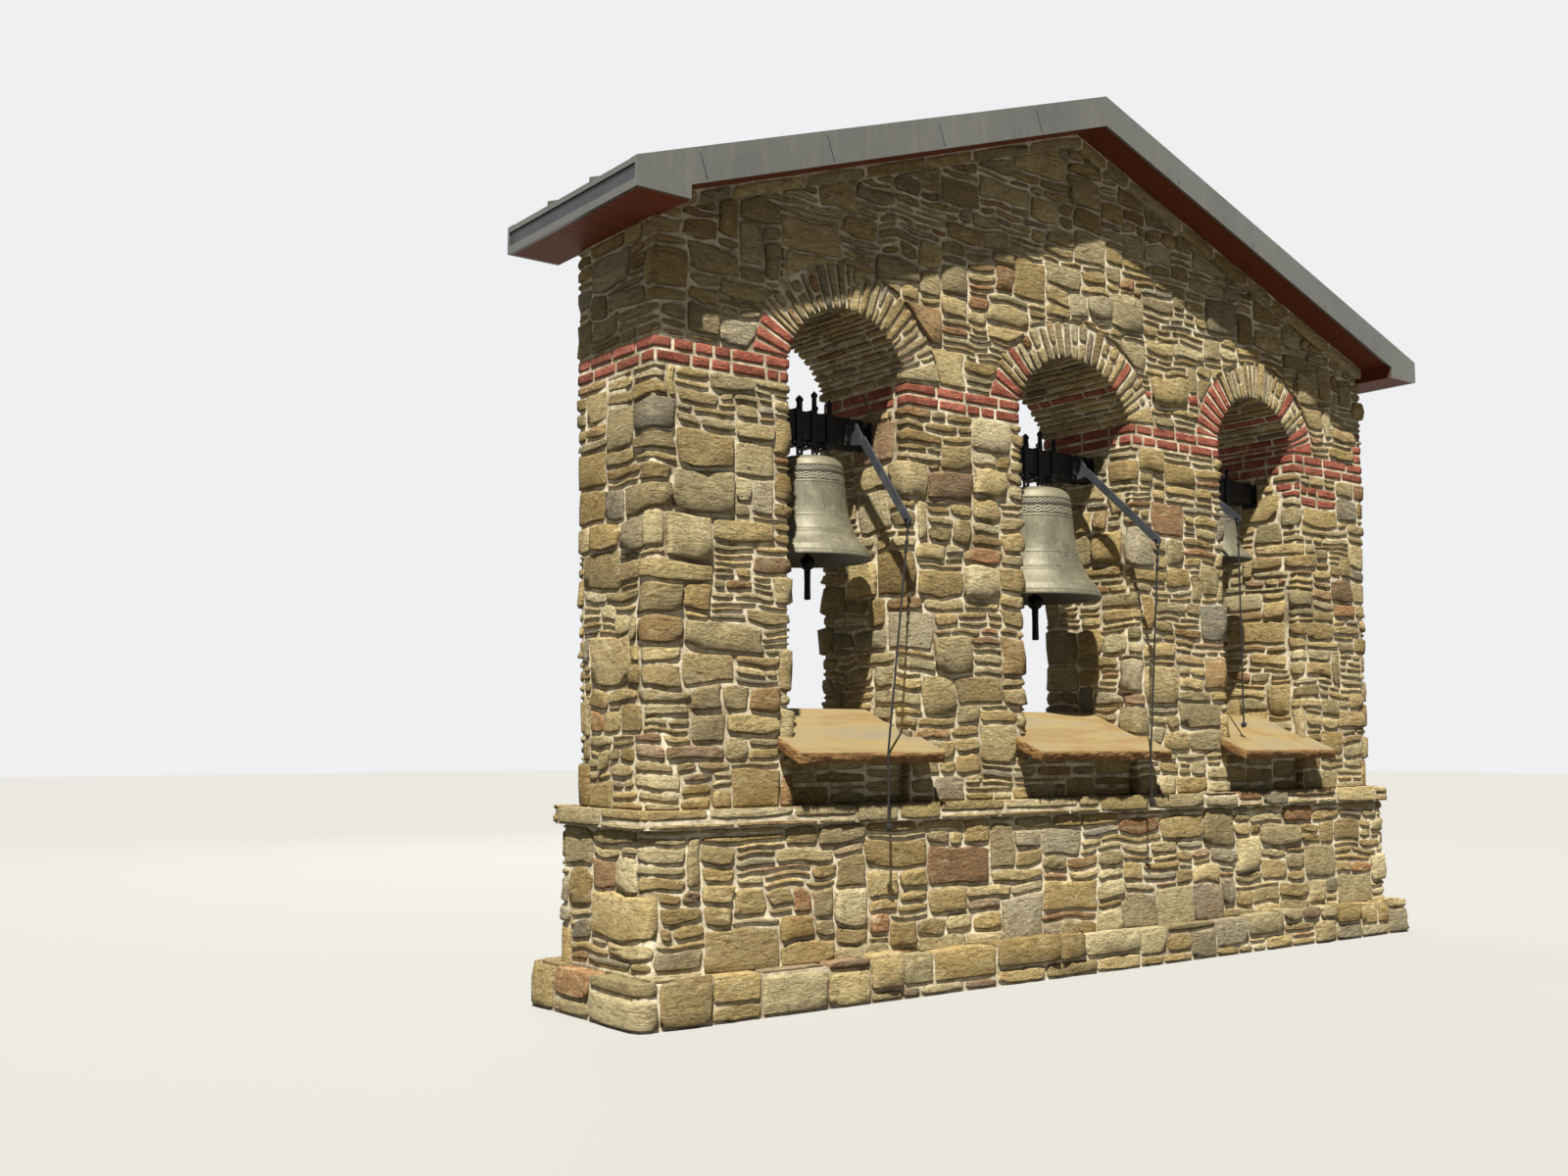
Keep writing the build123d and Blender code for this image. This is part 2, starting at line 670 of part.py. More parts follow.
    # Straps: three stirrups pass through the crown loops and end in bolts above the beam
    with BuildPart() as straps:
        strap_y = HEADSTOCK_DEPTH / 2 + RUNNING_GAP + STRAP_THICKNESS / 2
        loop_hole = loop_half - loop_bar / 2
        strap_half = min(STRAP_WIDTH / 2, 0.8 * loop_hole)
        arch_room = sqrt(loop_hole**2 - strap_half**2)
        seat_z = loop_top_z - loop_hole - loop_bar + arch_room - RUNNING_GAP - STRAP_THICKNESS
        saddle_z = HEADSTOCK_TOP_Z + RUNNING_GAP
        for place in (-1, 0, 1):
            strap_x = axis_x + place * loop_spread
            rise = FINIAL_RISE_MIDDLE if place == 0 else FINIAL_RISE
            with BuildSketch(Plane.YZ.offset(strap_x)):
                with Locations((0, seat_z)):
                    Rectangle(
                        2 * strap_y + STRAP_THICKNESS,
                        saddle_z + STRAP_THICKNESS - seat_z,
                        align=(Align.CENTER, Align.MIN),
                    )
                with Locations((0, seat_z + STRAP_THICKNESS)):
                    Rectangle(
                        2 * strap_y - STRAP_THICKNESS,
                        saddle_z - seat_z - STRAP_THICKNESS,
                        align=(Align.CENTER, Align.MIN),
                        mode=Mode.SUBTRACT,
                    )
            extrude(amount=strap_half, both=True)
            nut_z = saddle_z + STRAP_THICKNESS
            knob_z = nut_z + FINIAL_NUT_HEIGHT
            tip_z = nut_z + rise - FINIAL_TIP_HEIGHT
            for low_z, high_z, radius in [
                (nut_z, knob_z, FINIAL_NUT),
                (knob_z, tip_z, FINIAL_KNOB),
                (tip_z, nut_z + rise, FINIAL_TIP),
            ]:
                with BuildSketch(Plane.XY.offset(low_z)):
                    with Locations((strap_x, -strap_y), (strap_x, strap_y)):
                        RegularPolygon(radius, 6)
                extrude(amount=high_z - low_z)
    save(straps.part, f"straps_{number}")

    # Lever: a flat bar that slopes down to the front from a bracket on the beam
    lever_x = axis_x + bell["lever_x"]
    start_y, start_z = bell["lever_start"]
    end_y, end_z = bell["lever_end"]
    run_y = end_y - start_y
    run_z = end_z - start_z
    lever_length = hypot(run_y, run_z)
    bar_plane = Plane(
        origin=(lever_x, start_y, start_z),
        x_dir=(0, run_y / lever_length, run_z / lever_length),
        z_dir=(1, 0, 0),
    )
    front_y = -HEADSTOCK_DEPTH / 2 - RUNNING_GAP
    with BuildPart() as lever:
        with BuildSketch(bar_plane):
            with Locations((lever_length / 2, 0)):
                SlotCenterToCenter(lever_length, LEVER_WIDTH)
            with Locations((lever_length, 0)):
                Circle(SHACKLE_PIN / 2 + RUNNING_GAP, mode=Mode.SUBTRACT)
        extrude(amount=LEVER_THICKNESS / 2, both=True)
        with BuildSketch(Plane.YZ.offset(lever_x)):
            Polygon(
                (front_y, beam_low_z + 10),
                (front_y, HEADSTOCK_TOP_Z - 10),
                (front_y - 30, HEADSTOCK_TOP_Z - 10),
                (start_y, start_z + LEVER_WIDTH / 2),
                (start_y, start_z - LEVER_WIDTH / 2),
                (front_y - 20, beam_low_z + 10),
                align=None,
            )
        extrude(amount=LEVER_THICKNESS / 2, both=True)
        with BuildSketch(Plane.XZ.offset(-front_y)):
            with Locations((lever_x, (beam_low_z + HEADSTOCK_TOP_Z) / 2)):
                Rectangle(LEVER_PLATE_WIDTH, HEADSTOCK_TOP_Z - beam_low_z - 20)
        extrude(amount=LEVER_PLATE_THICKNESS)
    save(lever.part, f"lever_{number}")

    # Shackle: a bow of round bar through the eye of the lever
    bow_z = end_z - SHACKLE_LEG
    ear_z = end_z + SHACKLE_WIRE
    with BuildPart() as shackle:
        with BuildSketch(Plane.XZ.offset(-end_y)):
            for radius, mode in [
                (SHACKLE_BOW + SHACKLE_WIRE / 2, Mode.ADD),
                (SHACKLE_BOW - SHACKLE_WIRE / 2, Mode.SUBTRACT),
            ]:
                with Locations((lever_x, bow_z)):
                    Circle(radius, mode=mode)
                    Rectangle(2 * radius, ear_z - bow_z, align=(Align.CENTER, Align.MIN), mode=mode)
        extrude(amount=SHACKLE_WIRE / 2, both=True)
        with BuildSketch(Plane.YZ.offset(lever_x)):
            with Locations((end_y, end_z)):
                Circle(SHACKLE_PIN / 2)
        extrude(amount=SHACKLE_BOW + SHACKLE_WIRE, both=True)
    save(shackle.part, f"shackle_{number}")

    # Rope: it hangs from the shackle, over the nose of the sill where it reaches it
    rope_top = (lever_x, end_y, bow_z - SHACKLE_BOW - SHACKLE_WIRE / 2 - ROPE_GAP)
    if bell["rope_nose"]:
        nose_x, nose_y, nose_z = bell["rope_nose"]
        nose_point = (axis_x + nose_x, nose_y, nose_z)
        rope_points = [rope_top, nose_point, (axis_x + nose_x, nose_y, bell["rope_end_z"])]
        with BuildPart() as rope:
            with BuildLine() as rope_path:
                FilletPolyline(*rope_points, radius=ROPE_NOSE_RADIUS)
            with BuildSketch(Plane(origin=rope_path.line @ 0, z_dir=rope_path.line % 0)):
                Circle(ROPE_DIAMETER / 2)
            sweep(path=rope_path.line)
            with Locations(rope_points[-1]):
                add(knot)
    else:
        rope_foot = (rope_top[0], rope_top[1], bell["rope_end_z"])
        with BuildPart() as rope:
            with BuildSketch(Plane.XY.offset(rope_foot[2])):
                with Locations((rope_foot[0], rope_foot[1])):
                    Circle(ROPE_DIAMETER / 2)
            extrude(amount=rope_top[2] - rope_foot[2])
            with Locations(rope_foot):
                add(knot)
    save(rope.part, f"rope_{number}")
    print(f"bell {number}: clapper pivot at X {axis_x:.0f}, Z {pivot_z:.1f}")
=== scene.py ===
"""Looks of a free-standing rubble-stone bell wall with brick bands, a low metal-edged roof and three bells.

Metres, +Z up, the wall along X and its front towards -Y.
"""
import json
import math
from functools import partial

import bpy
import numpy as np
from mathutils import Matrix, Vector


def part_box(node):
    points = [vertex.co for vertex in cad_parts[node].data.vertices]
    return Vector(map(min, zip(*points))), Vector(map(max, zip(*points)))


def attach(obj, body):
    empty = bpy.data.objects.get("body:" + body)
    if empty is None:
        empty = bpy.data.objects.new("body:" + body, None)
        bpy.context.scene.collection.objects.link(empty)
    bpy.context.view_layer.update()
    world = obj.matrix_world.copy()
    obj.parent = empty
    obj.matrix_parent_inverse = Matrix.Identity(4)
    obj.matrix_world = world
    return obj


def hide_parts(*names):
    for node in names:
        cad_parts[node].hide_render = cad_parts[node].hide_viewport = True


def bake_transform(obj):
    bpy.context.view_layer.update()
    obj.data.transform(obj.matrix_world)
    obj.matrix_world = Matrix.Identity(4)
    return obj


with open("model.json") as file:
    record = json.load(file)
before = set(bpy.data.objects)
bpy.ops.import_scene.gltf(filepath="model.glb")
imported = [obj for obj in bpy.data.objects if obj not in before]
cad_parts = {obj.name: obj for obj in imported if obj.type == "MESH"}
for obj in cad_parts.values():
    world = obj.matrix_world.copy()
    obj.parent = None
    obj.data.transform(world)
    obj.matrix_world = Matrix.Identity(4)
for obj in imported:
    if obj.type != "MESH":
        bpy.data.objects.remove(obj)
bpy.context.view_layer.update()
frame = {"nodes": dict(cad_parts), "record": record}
rng = np.random.default_rng(4)

FULL = 2 * math.pi
UP, EAST, NORTH = np.array([[0.0, 0.0, 1.0], [1.0, 0.0, 0.0], [0.0, 1.0, 0.0]])
FRONT, RIGHT, BACK, LEFT = range(4)
ALONG = np.array([(1, 0), (0, 1), (-1, 0), (0, -1)], float)
OUTWARD = np.roll(ALONG, 1, 0)
SIDES = ((-1, "front"), (1, "back"))
SQUARE = ((-1, -1), (-1, 1), (1, -1), (1, 1))

# Masonry and roof sizes in metres, as the source has them
AXES = (-1.97, 0.0, 1.97)
WIDTHS = (0.92, 1.10, 0.92)
NAMES = ("left", "centre", "right")
HALF_LENGTH = 3.33
HALF_DEPTH = 0.40
CORNER_ROUND = 0.06
PIER_ROUND_LOW, PIER_ROUND_TOP = 0.15, 0.012
PLINTH_TOP = 0.23
LEDGE_TOP = 1.095
BAND_LOW, BAND_TOP = 3.50, 3.654
CROWN = 4.02
RING = 0.25
FAR_EDGE = RING + 2 * HALF_DEPTH
EAVE = 4.31
RAKE_LOW = 0.245
RAKE_END = 3.29
SLOPE = math.radians(19.09)
SILL_FALL = math.atan2(0.260, 0.630)
SILL_THICKNESS = 0.065
NOSE_OUT, NOSE_HEIGHT = 0.630, 1.400

# Stone laying
CELL = 0.01       # of the way round
JOINT = 0.010
FAN = 0.20        # reach of a corner's fan
SUNK = 0.012      # depth of a stone's rim below the mortar
LEAST = 0.022     # height of a stone
LONGEST = 140     # free run, in cells
SPOTS = 17        # places in a stone's upper and lower line
# For each kind of stone: rows of a share, the least and greatest height, the least and greatest length
SIZES = {
    "rubble": (
        (0.34, 0.038, 0.062, 0.12, 0.34), (0.32, 0.062, 0.105, 0.12, 0.36), (0.22, 0.110, 0.190, 0.16, 0.42),
        (0.12, 0.190, 0.290, 0.28, 0.44),
    ),
    "base": (
        (0.30, 0.040, 0.068, 0.14, 0.42), (0.34, 0.070, 0.120, 0.16, 0.44), (0.24, 0.130, 0.200, 0.20, 0.50),
        (0.12, 0.210, 0.290, 0.30, 0.55),
    ),
    "slabs": ((0.8, 0.030, 0.050, 0.22, 0.62), (0.2, 0.050, 0.085, 0.18, 0.50)),
    "bricks": ((0.72, 0.075, 0.077, 0.235, 0.26), (0.28, 0.075, 0.077, 0.12, 0.15)),
    "dressed": ((0.5, 0.060, 0.090, 0.22, 0.45), (0.5, 0.100, 0.150, 0.22, 0.45)),
    "caps": ((1.0, 0.30, 0.34, 0.20, 0.62),),
}


def link(made):
    """Puts an object in the scene."""
    bpy.context.scene.collection.objects.link(made)
    return made


def add_mesh(name, body, slot, *parts, finish=None, smooth=True, values=None):
    """A mesh object of parts, each its points and a list of face arrays, with its slot's finish or another.

    values holds numbers for each point, by their name."""
    starts = np.cumsum([0] + [len(points) for points, _ in parts])
    points = np.concatenate([points for points, _ in parts])
    faces = [face + start for (_, some), start in zip(parts, starts) for face in some]
    loops = np.concatenate([face.ravel() for face in faces])
    sizes = np.concatenate([np.full(len(face), face.shape[1]) for face in faces])
    mesh = bpy.data.meshes.new(name)
    for items, key, data, kind in (
        (mesh.vertices, "co", points, np.float32), (mesh.loops, "vertex_index", loops, np.int32),
        (mesh.polygons, "loop_start", np.cumsum(sizes) - sizes, np.int32),
    ):
        items.add(len(data))
        items.foreach_set(key, data.astype(kind).ravel())
    mesh.update(calc_edges=True)
    mesh.validate()
    for key, data in (values or {}).items():
        attribute = mesh.attributes.new(key, "FLOAT", "POINT")
        attribute.data.foreach_set("value", data.astype(np.float32).ravel())
    mesh.polygons.foreach_set("use_smooth", np.full(len(mesh.polygons), smooth))
    made = link(bpy.data.objects.new(name, mesh))
    if finish or slot:
        mesh.materials.append(finish or finishes[slot])
    if body:
        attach(made, body)
    return made


def xyz(*coordinates):
    """Points from their three coordinates."""
    return np.stack(np.broadcast_arrays(*coordinates), -1)


def closed_grids(points, behind=0):
    """Closed shells from grids of points: each grid's quads, and one point behind it that closes its border."""
    count, rows, columns = points.shape[:3]
    index = np.arange(rows * columns).reshape(rows, columns)
    ring = np.concatenate([index[0], index[1:, -1], index[-1, -2::-1], index[-2:0:-1, 0]])
    quad = np.stack([index[:-1, :-1], index[:-1, 1:], index[1:, 1:], index[1:, :-1]], -1).reshape(-1, 4)
    base = (np.arange(count) * rows * columns)[:, None]
    here, after = ring + base, np.roll(ring, -1) + base
    centre = count * rows * columns + np.arange(count)[:, None] + 0 * here
    backs = points.reshape(count, -1, 3)[:, ring].mean(1) + behind
    faces = [(quad + base[..., None]).reshape(-1, 4), np.stack([after, here, centre], -1).reshape(-1, 3)]
    return np.concatenate([points.reshape(-1, 3), backs]), faces


def ripple(u, v, wave, seed, period=None):
    """Smooth noise: a sum of seven sine waves whose lengths lie near wave, in any direction."""
    draw = np.random.default_rng(seed).uniform
    total = np.zeros(np.broadcast(u, v).shape)
    for _ in range(7):
        angle = draw(0, FULL)
        rate = FULL / (wave * draw(0.7, 1.5))
        along = rate * math.cos(angle)
        if period:
            along = round(along * period / FULL) * FULL / period
        total += np.sin(along * u + rate * math.sin(angle) * v + draw(0, FULL))
    return total / 3


class Walk:
    """The way u round a rectangle in plan, from its front-left corner along the front.

    Near a square corner the outward direction fans out to the mitre; near a round one the point runs on an arc."""

    def __init__(self, low, high, radius=lambda corner, z: np.zeros_like(z)):
        self.low, self.high = np.array(low[:2]), np.array(high[:2])
        self.radius = radius
        self.sides = np.tile(self.high - self.low, 2)
        self.ends = np.concatenate([[0], np.cumsum(self.sides)])
        self.length = self.ends[-1]
        self.bends = [end + turn * self.length for end in self.ends[1:] for turn in (-1, 0, 1)]
        (x, y), (far_x, far_y) = self.low, self.high
        self.corners = np.array([(x, y), (far_x, y), (far_x, far_y), (x, far_y)])

    def spot(self, u):
        """The side that a way lies on, and how far along that side it is."""
        u = np.mod(u, self.length)
        side = np.clip(np.searchsorted(self.ends, u, side="right") - 1, 0, 3)
        return side, u - self.ends[side]

    def place(self, u, z):
        """Point and outward direction for arrays of ways u and heights z."""
        side, from_start = self.spot(u)
        from_end = self.ends[side + 1] - np.mod(u, self.length)
        along, out = ALONG[side], OUTWARD[side]
        point = self.corners[side] + along * from_start[..., None]
        direction = out.copy()
        for distance, sign, corner in ((from_start, -1, side), (from_end, 1, (side + 1) % 4)):
            radius = self.radius(corner, z)
            fan = np.clip(1 - distance / FAN, 0, 1) * (radius < 0.001)
            direction = direction + sign * along * fan[..., None]
            inside = ((distance < radius) & (radius > 0.001))[..., None]
            turn = np.where(inside[..., 0], (1 - distance / np.maximum(radius, 1e-6)) * math.pi / 4, 0)[..., None]
            radius = radius[..., None]
            radial = out * np.cos(turn) + sign * along * np.sin(turn)
            centre = self.corners[corner] - sign * along * radius - out * radius
            point = np.where(inside, centre + radial * radius, point)
            direction = np.where(inside, radial, direction)
        return point, direction

    def wall(self, u, v, d):
        """Places on an upright wall: u round the walk, v the height, d out of the face."""
        point, direction = self.place(u, v)
        return np.concatenate([point + direction * d[..., None], v[..., None]], -1)

    def step(self, top, u, v, d):
        """Places on a step: v is the height up to top, and past it the way inwards over the top face."""
        inward, on_top = np.maximum(v - top, 0)[..., None], (v > top + 0.004)[..., None]
        point, direction = self.place(u, v)
        plan = point + direction * (np.where(on_top, 0, d[..., None]) - inward)
        # past a corner the way inwards stops at the mitre
        plan = np.where(on_top, np.clip(plan, self.low + inward, self.high - inward), plan)
        return np.concatenate([plan, np.where(v > top - 0.004, top + d, v)[..., None]], -1)


def lay_stones(floor, ceiling, kind_at, corners=(), closed=True):
    """Lays stones from a floor line up to a ceiling line, always on the lowest free place.

    floor and ceiling hold one height for each cell of the way. kind_at(place, height) names the sizes.
    Returns for each stone its ends, its lower and upper line, and its kind."""
    count = len(floor)
    sky = floor.copy()
    raw = np.ones(count, bool)
    corner_cells = [int(round(corner / CELL)) + turn for corner in corners for turn in (-count, 0, count)]
    laid = []

    def inside(cell):
        return closed or 0 <= cell < count

    while True:
        free = ceiling - sky > LEAST
        if not free.any():
            return laid
        lowest = int(np.argmin(np.where(free, sky, np.inf)))
        base = sky[lowest]
        kind = kind_at(lowest * CELL, base)
        table = SIZES[kind]
        _, thin, thick, short, long = table[rng.choice(len(table), p=[row[0] for row in table])]
        top = base + rng.uniform(thin, thick)
        length = int(rng.uniform(short, long) / CELL)
        fits = free & ((sky - base < 0.012) | (raw & (sky < top - 0.02)))
        left = right = lowest
        while right - left < LONGEST and inside(left - 1) and fits[(left - 1) % count]:
            left -= 1
        while right - left < LONGEST and inside(right + 1) and fits[(right + 1) % count]:
            right += 1
        wide = right - left + 1
        beside = [sky[cell % count] for cell in (left - 1, right + 1) if inside(cell)]
        if wide < 3:
            # too narrow for a stone: the joint is filled up to its lower neighbour
            level = min([height for height in beside if height > base], default=base + LEAST)
            gap = np.arange(left, right + 1) % count
            sky[gap] = np.minimum(np.maximum(level, base + 0.004), ceiling[gap])
            raw[gap] = False
            continue
        if wide <= 1.4 * length or wide - length < 9:
            length = wide if wide < 1.6 * length or wide < 16 else wide // 2
        at_left = rng.random() < 0.5
        start = left if at_left else right + 1 - length
        end = start + length
        for corner in corner_cells:
            # a stone that would end near a corner goes round it
            if at_left and end < right + 1 and abs(end - corner) < 5:
                end = min(corner + int(rng.integers(6, 13)), right + 1)
            if not at_left and start > left and abs(start - corner) < 5:
                start = max(corner - int(rng.integers(6, 13)), left)
        beside = [height for height in beside if height > base + 0.012]
        for level in sorted(beside, key=lambda height: abs(height - top)):
            if abs(level - top) < 0.02 and 0.03 < level - base < 0.22:
                top = level
                break
        if kind != "bricks" and length == wide and beside and rng.random() < 0.5 and 0.03 < min(beside) - base < 0.20:
            top = min(beside)
        span = np.arange(start, end) % count
        under = ceiling[span]
        upper = np.minimum(top, under)
        upper = np.where(under - upper < 0.028, under, upper)
        if (upper - sky[span]).max() > 0.024:
            cells = np.arange(end - start)
            lines = [np.interp(np.linspace(0, cells[-1], SPOTS), cells, line) for line in (sky[span], upper)]
            laid.append((start * CELL, end * CELL, *lines, kind))
        sky[span] = np.maximum(upper, sky[span] + 0.004)
        raw[span] = False


def stone_grid(laid, corners, columns, rows, relief, joint, crease):
    """Grids (u, v, d) of the stones' faces and the values that colour them.

    The outline is the stone's own four sides, pulled in by half a joint and rounded at its corners. The depth d
    rises in two steps from below the mortar to the stone's own face, which is tilted and uneven."""
    count = len(laid)

    def each(values):
        return values[:, None, None]

    def draw(low, high):
        return each(rng.uniform(low, high, count))

    first, last, lower, upper, kinds = map(np.array, zip(*laid))
    brick = kinds == "bricks"
    joints = np.where(brick, 0.011, joint * rng.uniform(0.75, 1.35, count))
    start, end = first + joints / 2, last - joints / 2
    long = end - start
    edge = np.minimum(0.007, 0.14 * long)
    inner = np.minimum(0.022, 0.30 * long)
    middle = (start + inner)[:, None] + np.linspace(0, 1, columns - 4) * (long - 2 * inner)[:, None]
    u = np.column_stack([start, start + edge, middle, end - edge, end])
    for where in corners:
        # a column of points stands on each corner that the stone goes round, and one on either side of it
        near = np.abs(u[:, 1:-1] - where).argmin(1) + 1
        hit = (start + 0.012 < where) & (where < end - 0.012)
        u[hit, near[hit]] = where
        for turn in (-1, 1):
            beside = np.clip(near + turn, 1, columns - 2)
            far = hit & (beside != near) & (np.abs(u[np.arange(count), beside] - where) > 0.055)
            u[far, beside[far]] = where + turn * 0.055
    share = np.clip((u - first[:, None]) / (last - first)[:, None] * (SPOTS - 1), 0, SPOTS - 1.001)
    cell, take = share.astype(int), np.arange(count)[:, None]
    blend = share - cell
    low, high = (
        (line[take, cell] * (1 - blend) + line[take, cell + 1] * blend + side * joints[:, None] / 2)[:, None]
        for line, side in ((lower, 1), (upper, -1))
    )
    high = np.maximum(high, low + 0.004)
    tall = high - low
    rim = np.minimum(0.006, 0.2 * tall)
    shelf = np.minimum(0.018, 0.34 * tall)
    middle = low + shelf + np.linspace(0, 1, rows - 4)[:, None] * (tall - 2 * shelf)
    v = np.concatenate([low, low + rim, middle, high - rim, high], 1)
    if crease is not None:
        across = (v[:, 1] + 0.004 < crease) & (crease < v[:, -2] - 0.004)
        near = np.abs(v[:, 1:-1] - crease).argmin(1) + 1
        stone, column = np.nonzero(across)
        v[stone, near[stone, column], column] = crease
    u = np.broadcast_to(u[:, None], v.shape).copy()
    s = np.clip((u - each(start)) / each(long), 0, 1) * 2 - 1
    t = np.linspace(-1, 1, rows)[:, None] * np.ones_like(u)
    soft = each(np.where(brick, 0.25, 1.0))
    ragged = 0.55 * ripple(u, 5 * t, 0.10, 14) + 0.45 * ripple(u, 9 * t, 0.045, 15)
    v += t * np.minimum(0.0045 * soft, 0.06 * tall) * ragged * (np.abs(t) > 0.4)
    u += s * 0.004 * soft * ripple(9 * s, v, 0.05, 16) * (np.abs(s) > 0.4)
    pull = (np.abs(s) * np.abs(t)) ** 2.6
    for side_s, side_t in SQUARE:
        here = ((np.sign(s) == side_s) & (np.sign(t) == side_t)) * pull * soft
        wedge = each(np.where(rng.random(count) < 0.34, 2.4, 0.9))
        u -= side_s * here * np.minimum(draw(0.004, 0.034) * wedge, 0.28 * each(long))
        v -= side_t * here * np.minimum(draw(0.004, 0.024) * wedge, 0.40 * tall)
    u += draw(-0.009, 0.009) * soft * t * (np.abs(s) > 0.5)
    small = np.minimum(long, tall.max((1, 2)))
    face = np.where(brick, rng.uniform(0.004, 0.011, count), relief * rng.uniform(0.30, 1.70, count))
    face = np.minimum(face, 0.005 + 0.16 * small)
    soft = soft * each(np.clip(small / 0.11, 0.35, 1))
    beside, above = (np.array([-1, -0.30, *[0] * (size - 4), -0.30, -1]) for size in (columns, rows))
    edge_drop = np.minimum(beside, above[:, None])[None]
    tilt = rng.uniform(-0.006, 0.006, (2, count))[:, :, None, None] * soft
    rough = 0.0050 * ripple(u, 2.6 * v, 0.20, 11) + 0.0044 * ripple(u, 2.4 * v, 0.085, 12)
    rough = (rough + 0.0030 * ripple(u, 1.5 * v, 0.040, 13)) * soft
    split = draw(-0.5, 0.7) + 0.25 * ripple(u, 0 * v, 0.12, 17)
    drop = (draw(0, 1) < 0.5) * 0.011 * soft * (t > split)
    for _ in range(3):
        # broken flats: planes that cut the face off
        slope = rng.uniform(-0.022, 0.022, (2, count))[:, :, None, None]
        rough = np.minimum(rough, np.where(soft < 1, rough, draw(0.002, 0.012) + slope[0] * s + slope[1] * t))
    depth = each(face) * (1 + 0.9 * edge_drop) + tilt[0] * s + tilt[1] * t + rough - drop
    depth = np.maximum(depth, 0.001 + each(np.where(brick, 0.002, 0.45 * relief)) * (1 + edge_drop))
    depth = np.where(edge_drop <= -1, -SUNK, depth)
    values = {
        "tone": each(rng.random(count)), "hue": each(rng.random(count)), "fired": each(brick), "rim": 1 + edge_drop,
        # under: painted shade on each stone's lower flank, strongest at its bottom edge
        "under": np.clip(-3 * t - 1.4, 0, 1),
    }
    return u, v, depth, {key: np.broadcast_to(value, u.shape) for key, value in values.items()}


def stones_mesh(name, laid, place, corners=(), relief=0.024, joint=JOINT, warp=None, columns=9, rows=7,
                crease=None, slot="rubble_stone"):
    """One mesh of all the stones laid, each a closed shell put in place by place(u, v, d)."""
    u, v, d, values = stone_grid(laid, corners, columns, rows, relief, joint, crease)
    if warp:
        u, v = warp(u, v)
    values = {key: np.concatenate([value.ravel(), value[:, 0, 0]]) for key, value in values.items()}
    return add_mesh(name, "tower", slot, closed_grids(place(u, v, d)), values=values)


def wander(period, floor, ceiling, reach, seed, u, v):
    """Wandering courses: an up and down shift that fades to nothing at the floor and the ceiling."""
    low, high = (np.interp(np.mod(u, period), np.arange(len(line)) * CELL, line) for line in (floor, ceiling))
    fade = np.clip((v - low) / 0.12, 0, 1) * np.clip((high - v) / 0.12, 0, 1)
    aside = 0.9 * ripple(u, 2 * v, 0.42, seed + 1, period) + 0.4 * ripple(u, v, 0.16, seed + 2, period)
    lift = 0.8 * ripple(u, v, 0.60, seed, period) + 0.45 * ripple(u, v, 0.22, seed + 3, period)
    return u + reach * fade * aside, v + reach * fade * lift


def lay_round(name, walk, floor, ceiling, kind_at, place=None, top=None, drift=None, shows=None, **looks):
    """Stones all round a walk, between two heights or lines, and their mesh.

    top makes a step of it, drift is the reach and seed of wandering courses, shows leaves out hidden stones."""
    if np.ndim(floor) == 0:
        floor, ceiling = (np.full(int(walk.length / CELL), float(line)) for line in (floor, ceiling))
    laid = lay_stones(floor, ceiling, kind_at, walk.ends)
    if shows:
        laid = [stone for stone in laid if shows(*stone)]
    if top:
        place = partial(walk.step, top)
    warp = drift and partial(wander, walk.length, floor, ceiling, *drift)
    return stones_mesh(name, laid, place or walk.wall, walk.bends, warp=warp, crease=top, **looks)


def lay_strip(name, length, floor, ceiling, kind, place, middle=0, lift=0, **looks):
    """Stones on a flat strip about a middle, and their mesh."""
    floor, ceiling = (np.full(int(length / CELL), float(height)) for height in (floor, ceiling))
    laid = lay_stones(floor, ceiling, lambda u, z: kind, closed=False)
    aside = middle - length / 2
    laid = [(stone[0] + aside, stone[1] + aside, stone[2] + lift, stone[3] + lift, kind) for stone in laid]
    return stones_mesh(name, laid, place, relief=0.006, **looks)


def wire(made, wires):
    """Sets a node's sockets, by name or number, to values or to other nodes' outputs."""
    for socket, value in wires:
        if isinstance(value, bpy.types.NodeSocket):
            made.id_data.links.new(value, made.inputs[socket])
        else:
            made.inputs[socket].default_value = value


def begin(holder):
    """Starts on the nodes of a material, given by its name, or of a world; the helpers below add to them."""
    global current
    current = bpy.data.materials.new(holder) if isinstance(holder, str) else holder
    current.use_nodes = True


def node(kind, wires=(), **settings):
    """A shader node with its settings and wires."""
    made = current.node_tree.nodes.new(kind)
    for key, value in settings.items():
        setattr(made, key, value)
    wire(made, wires)
    return made


def paint(colour):
    """A linear colour from the shares of 255 that a painter's chart gives; a ready colour stays as it is."""
    if not isinstance(colour, tuple) or len(colour) == 4:
        return colour
    share = np.array(colour) / 255
    linear = np.where(share <= 0.04045, share / 12.92, ((share + 0.055) / 1.055) ** 2.4)
    return (*linear.tolist(), 1)


def here():
    """Object coordinates."""
    return node("ShaderNodeTexCoord").outputs["Object"]


def noise(scale, detail=4, rough=0.55, twist=0, stretch=(1, 1, 1), turn=(0, 0, 0)):
    """Noise between 0 and 1 over the object's coordinates, stretched and turned."""
    place = node("ShaderNodeMapping", [("Vector", here()), ("Scale", stretch), ("Rotation", turn)]).outputs[0]
    wires = [("Vector", place), ("Scale", scale), ("Detail", detail), ("Roughness", rough), ("Distortion", twist)]
    return node("ShaderNodeTexNoise", wires).outputs[0]


def value_of(name):
    """A value that each point of the mesh carries."""
    return node("ShaderNodeAttribute", attribute_name=name).outputs["Fac"]


def sums(operation, *terms):
    """One sum on shares."""
    return node("ShaderNodeMath", enumerate(terms), operation=operation).outputs[0]


times = partial(sums, "MULTIPLY")
most = partial(sums, "MAXIMUM")


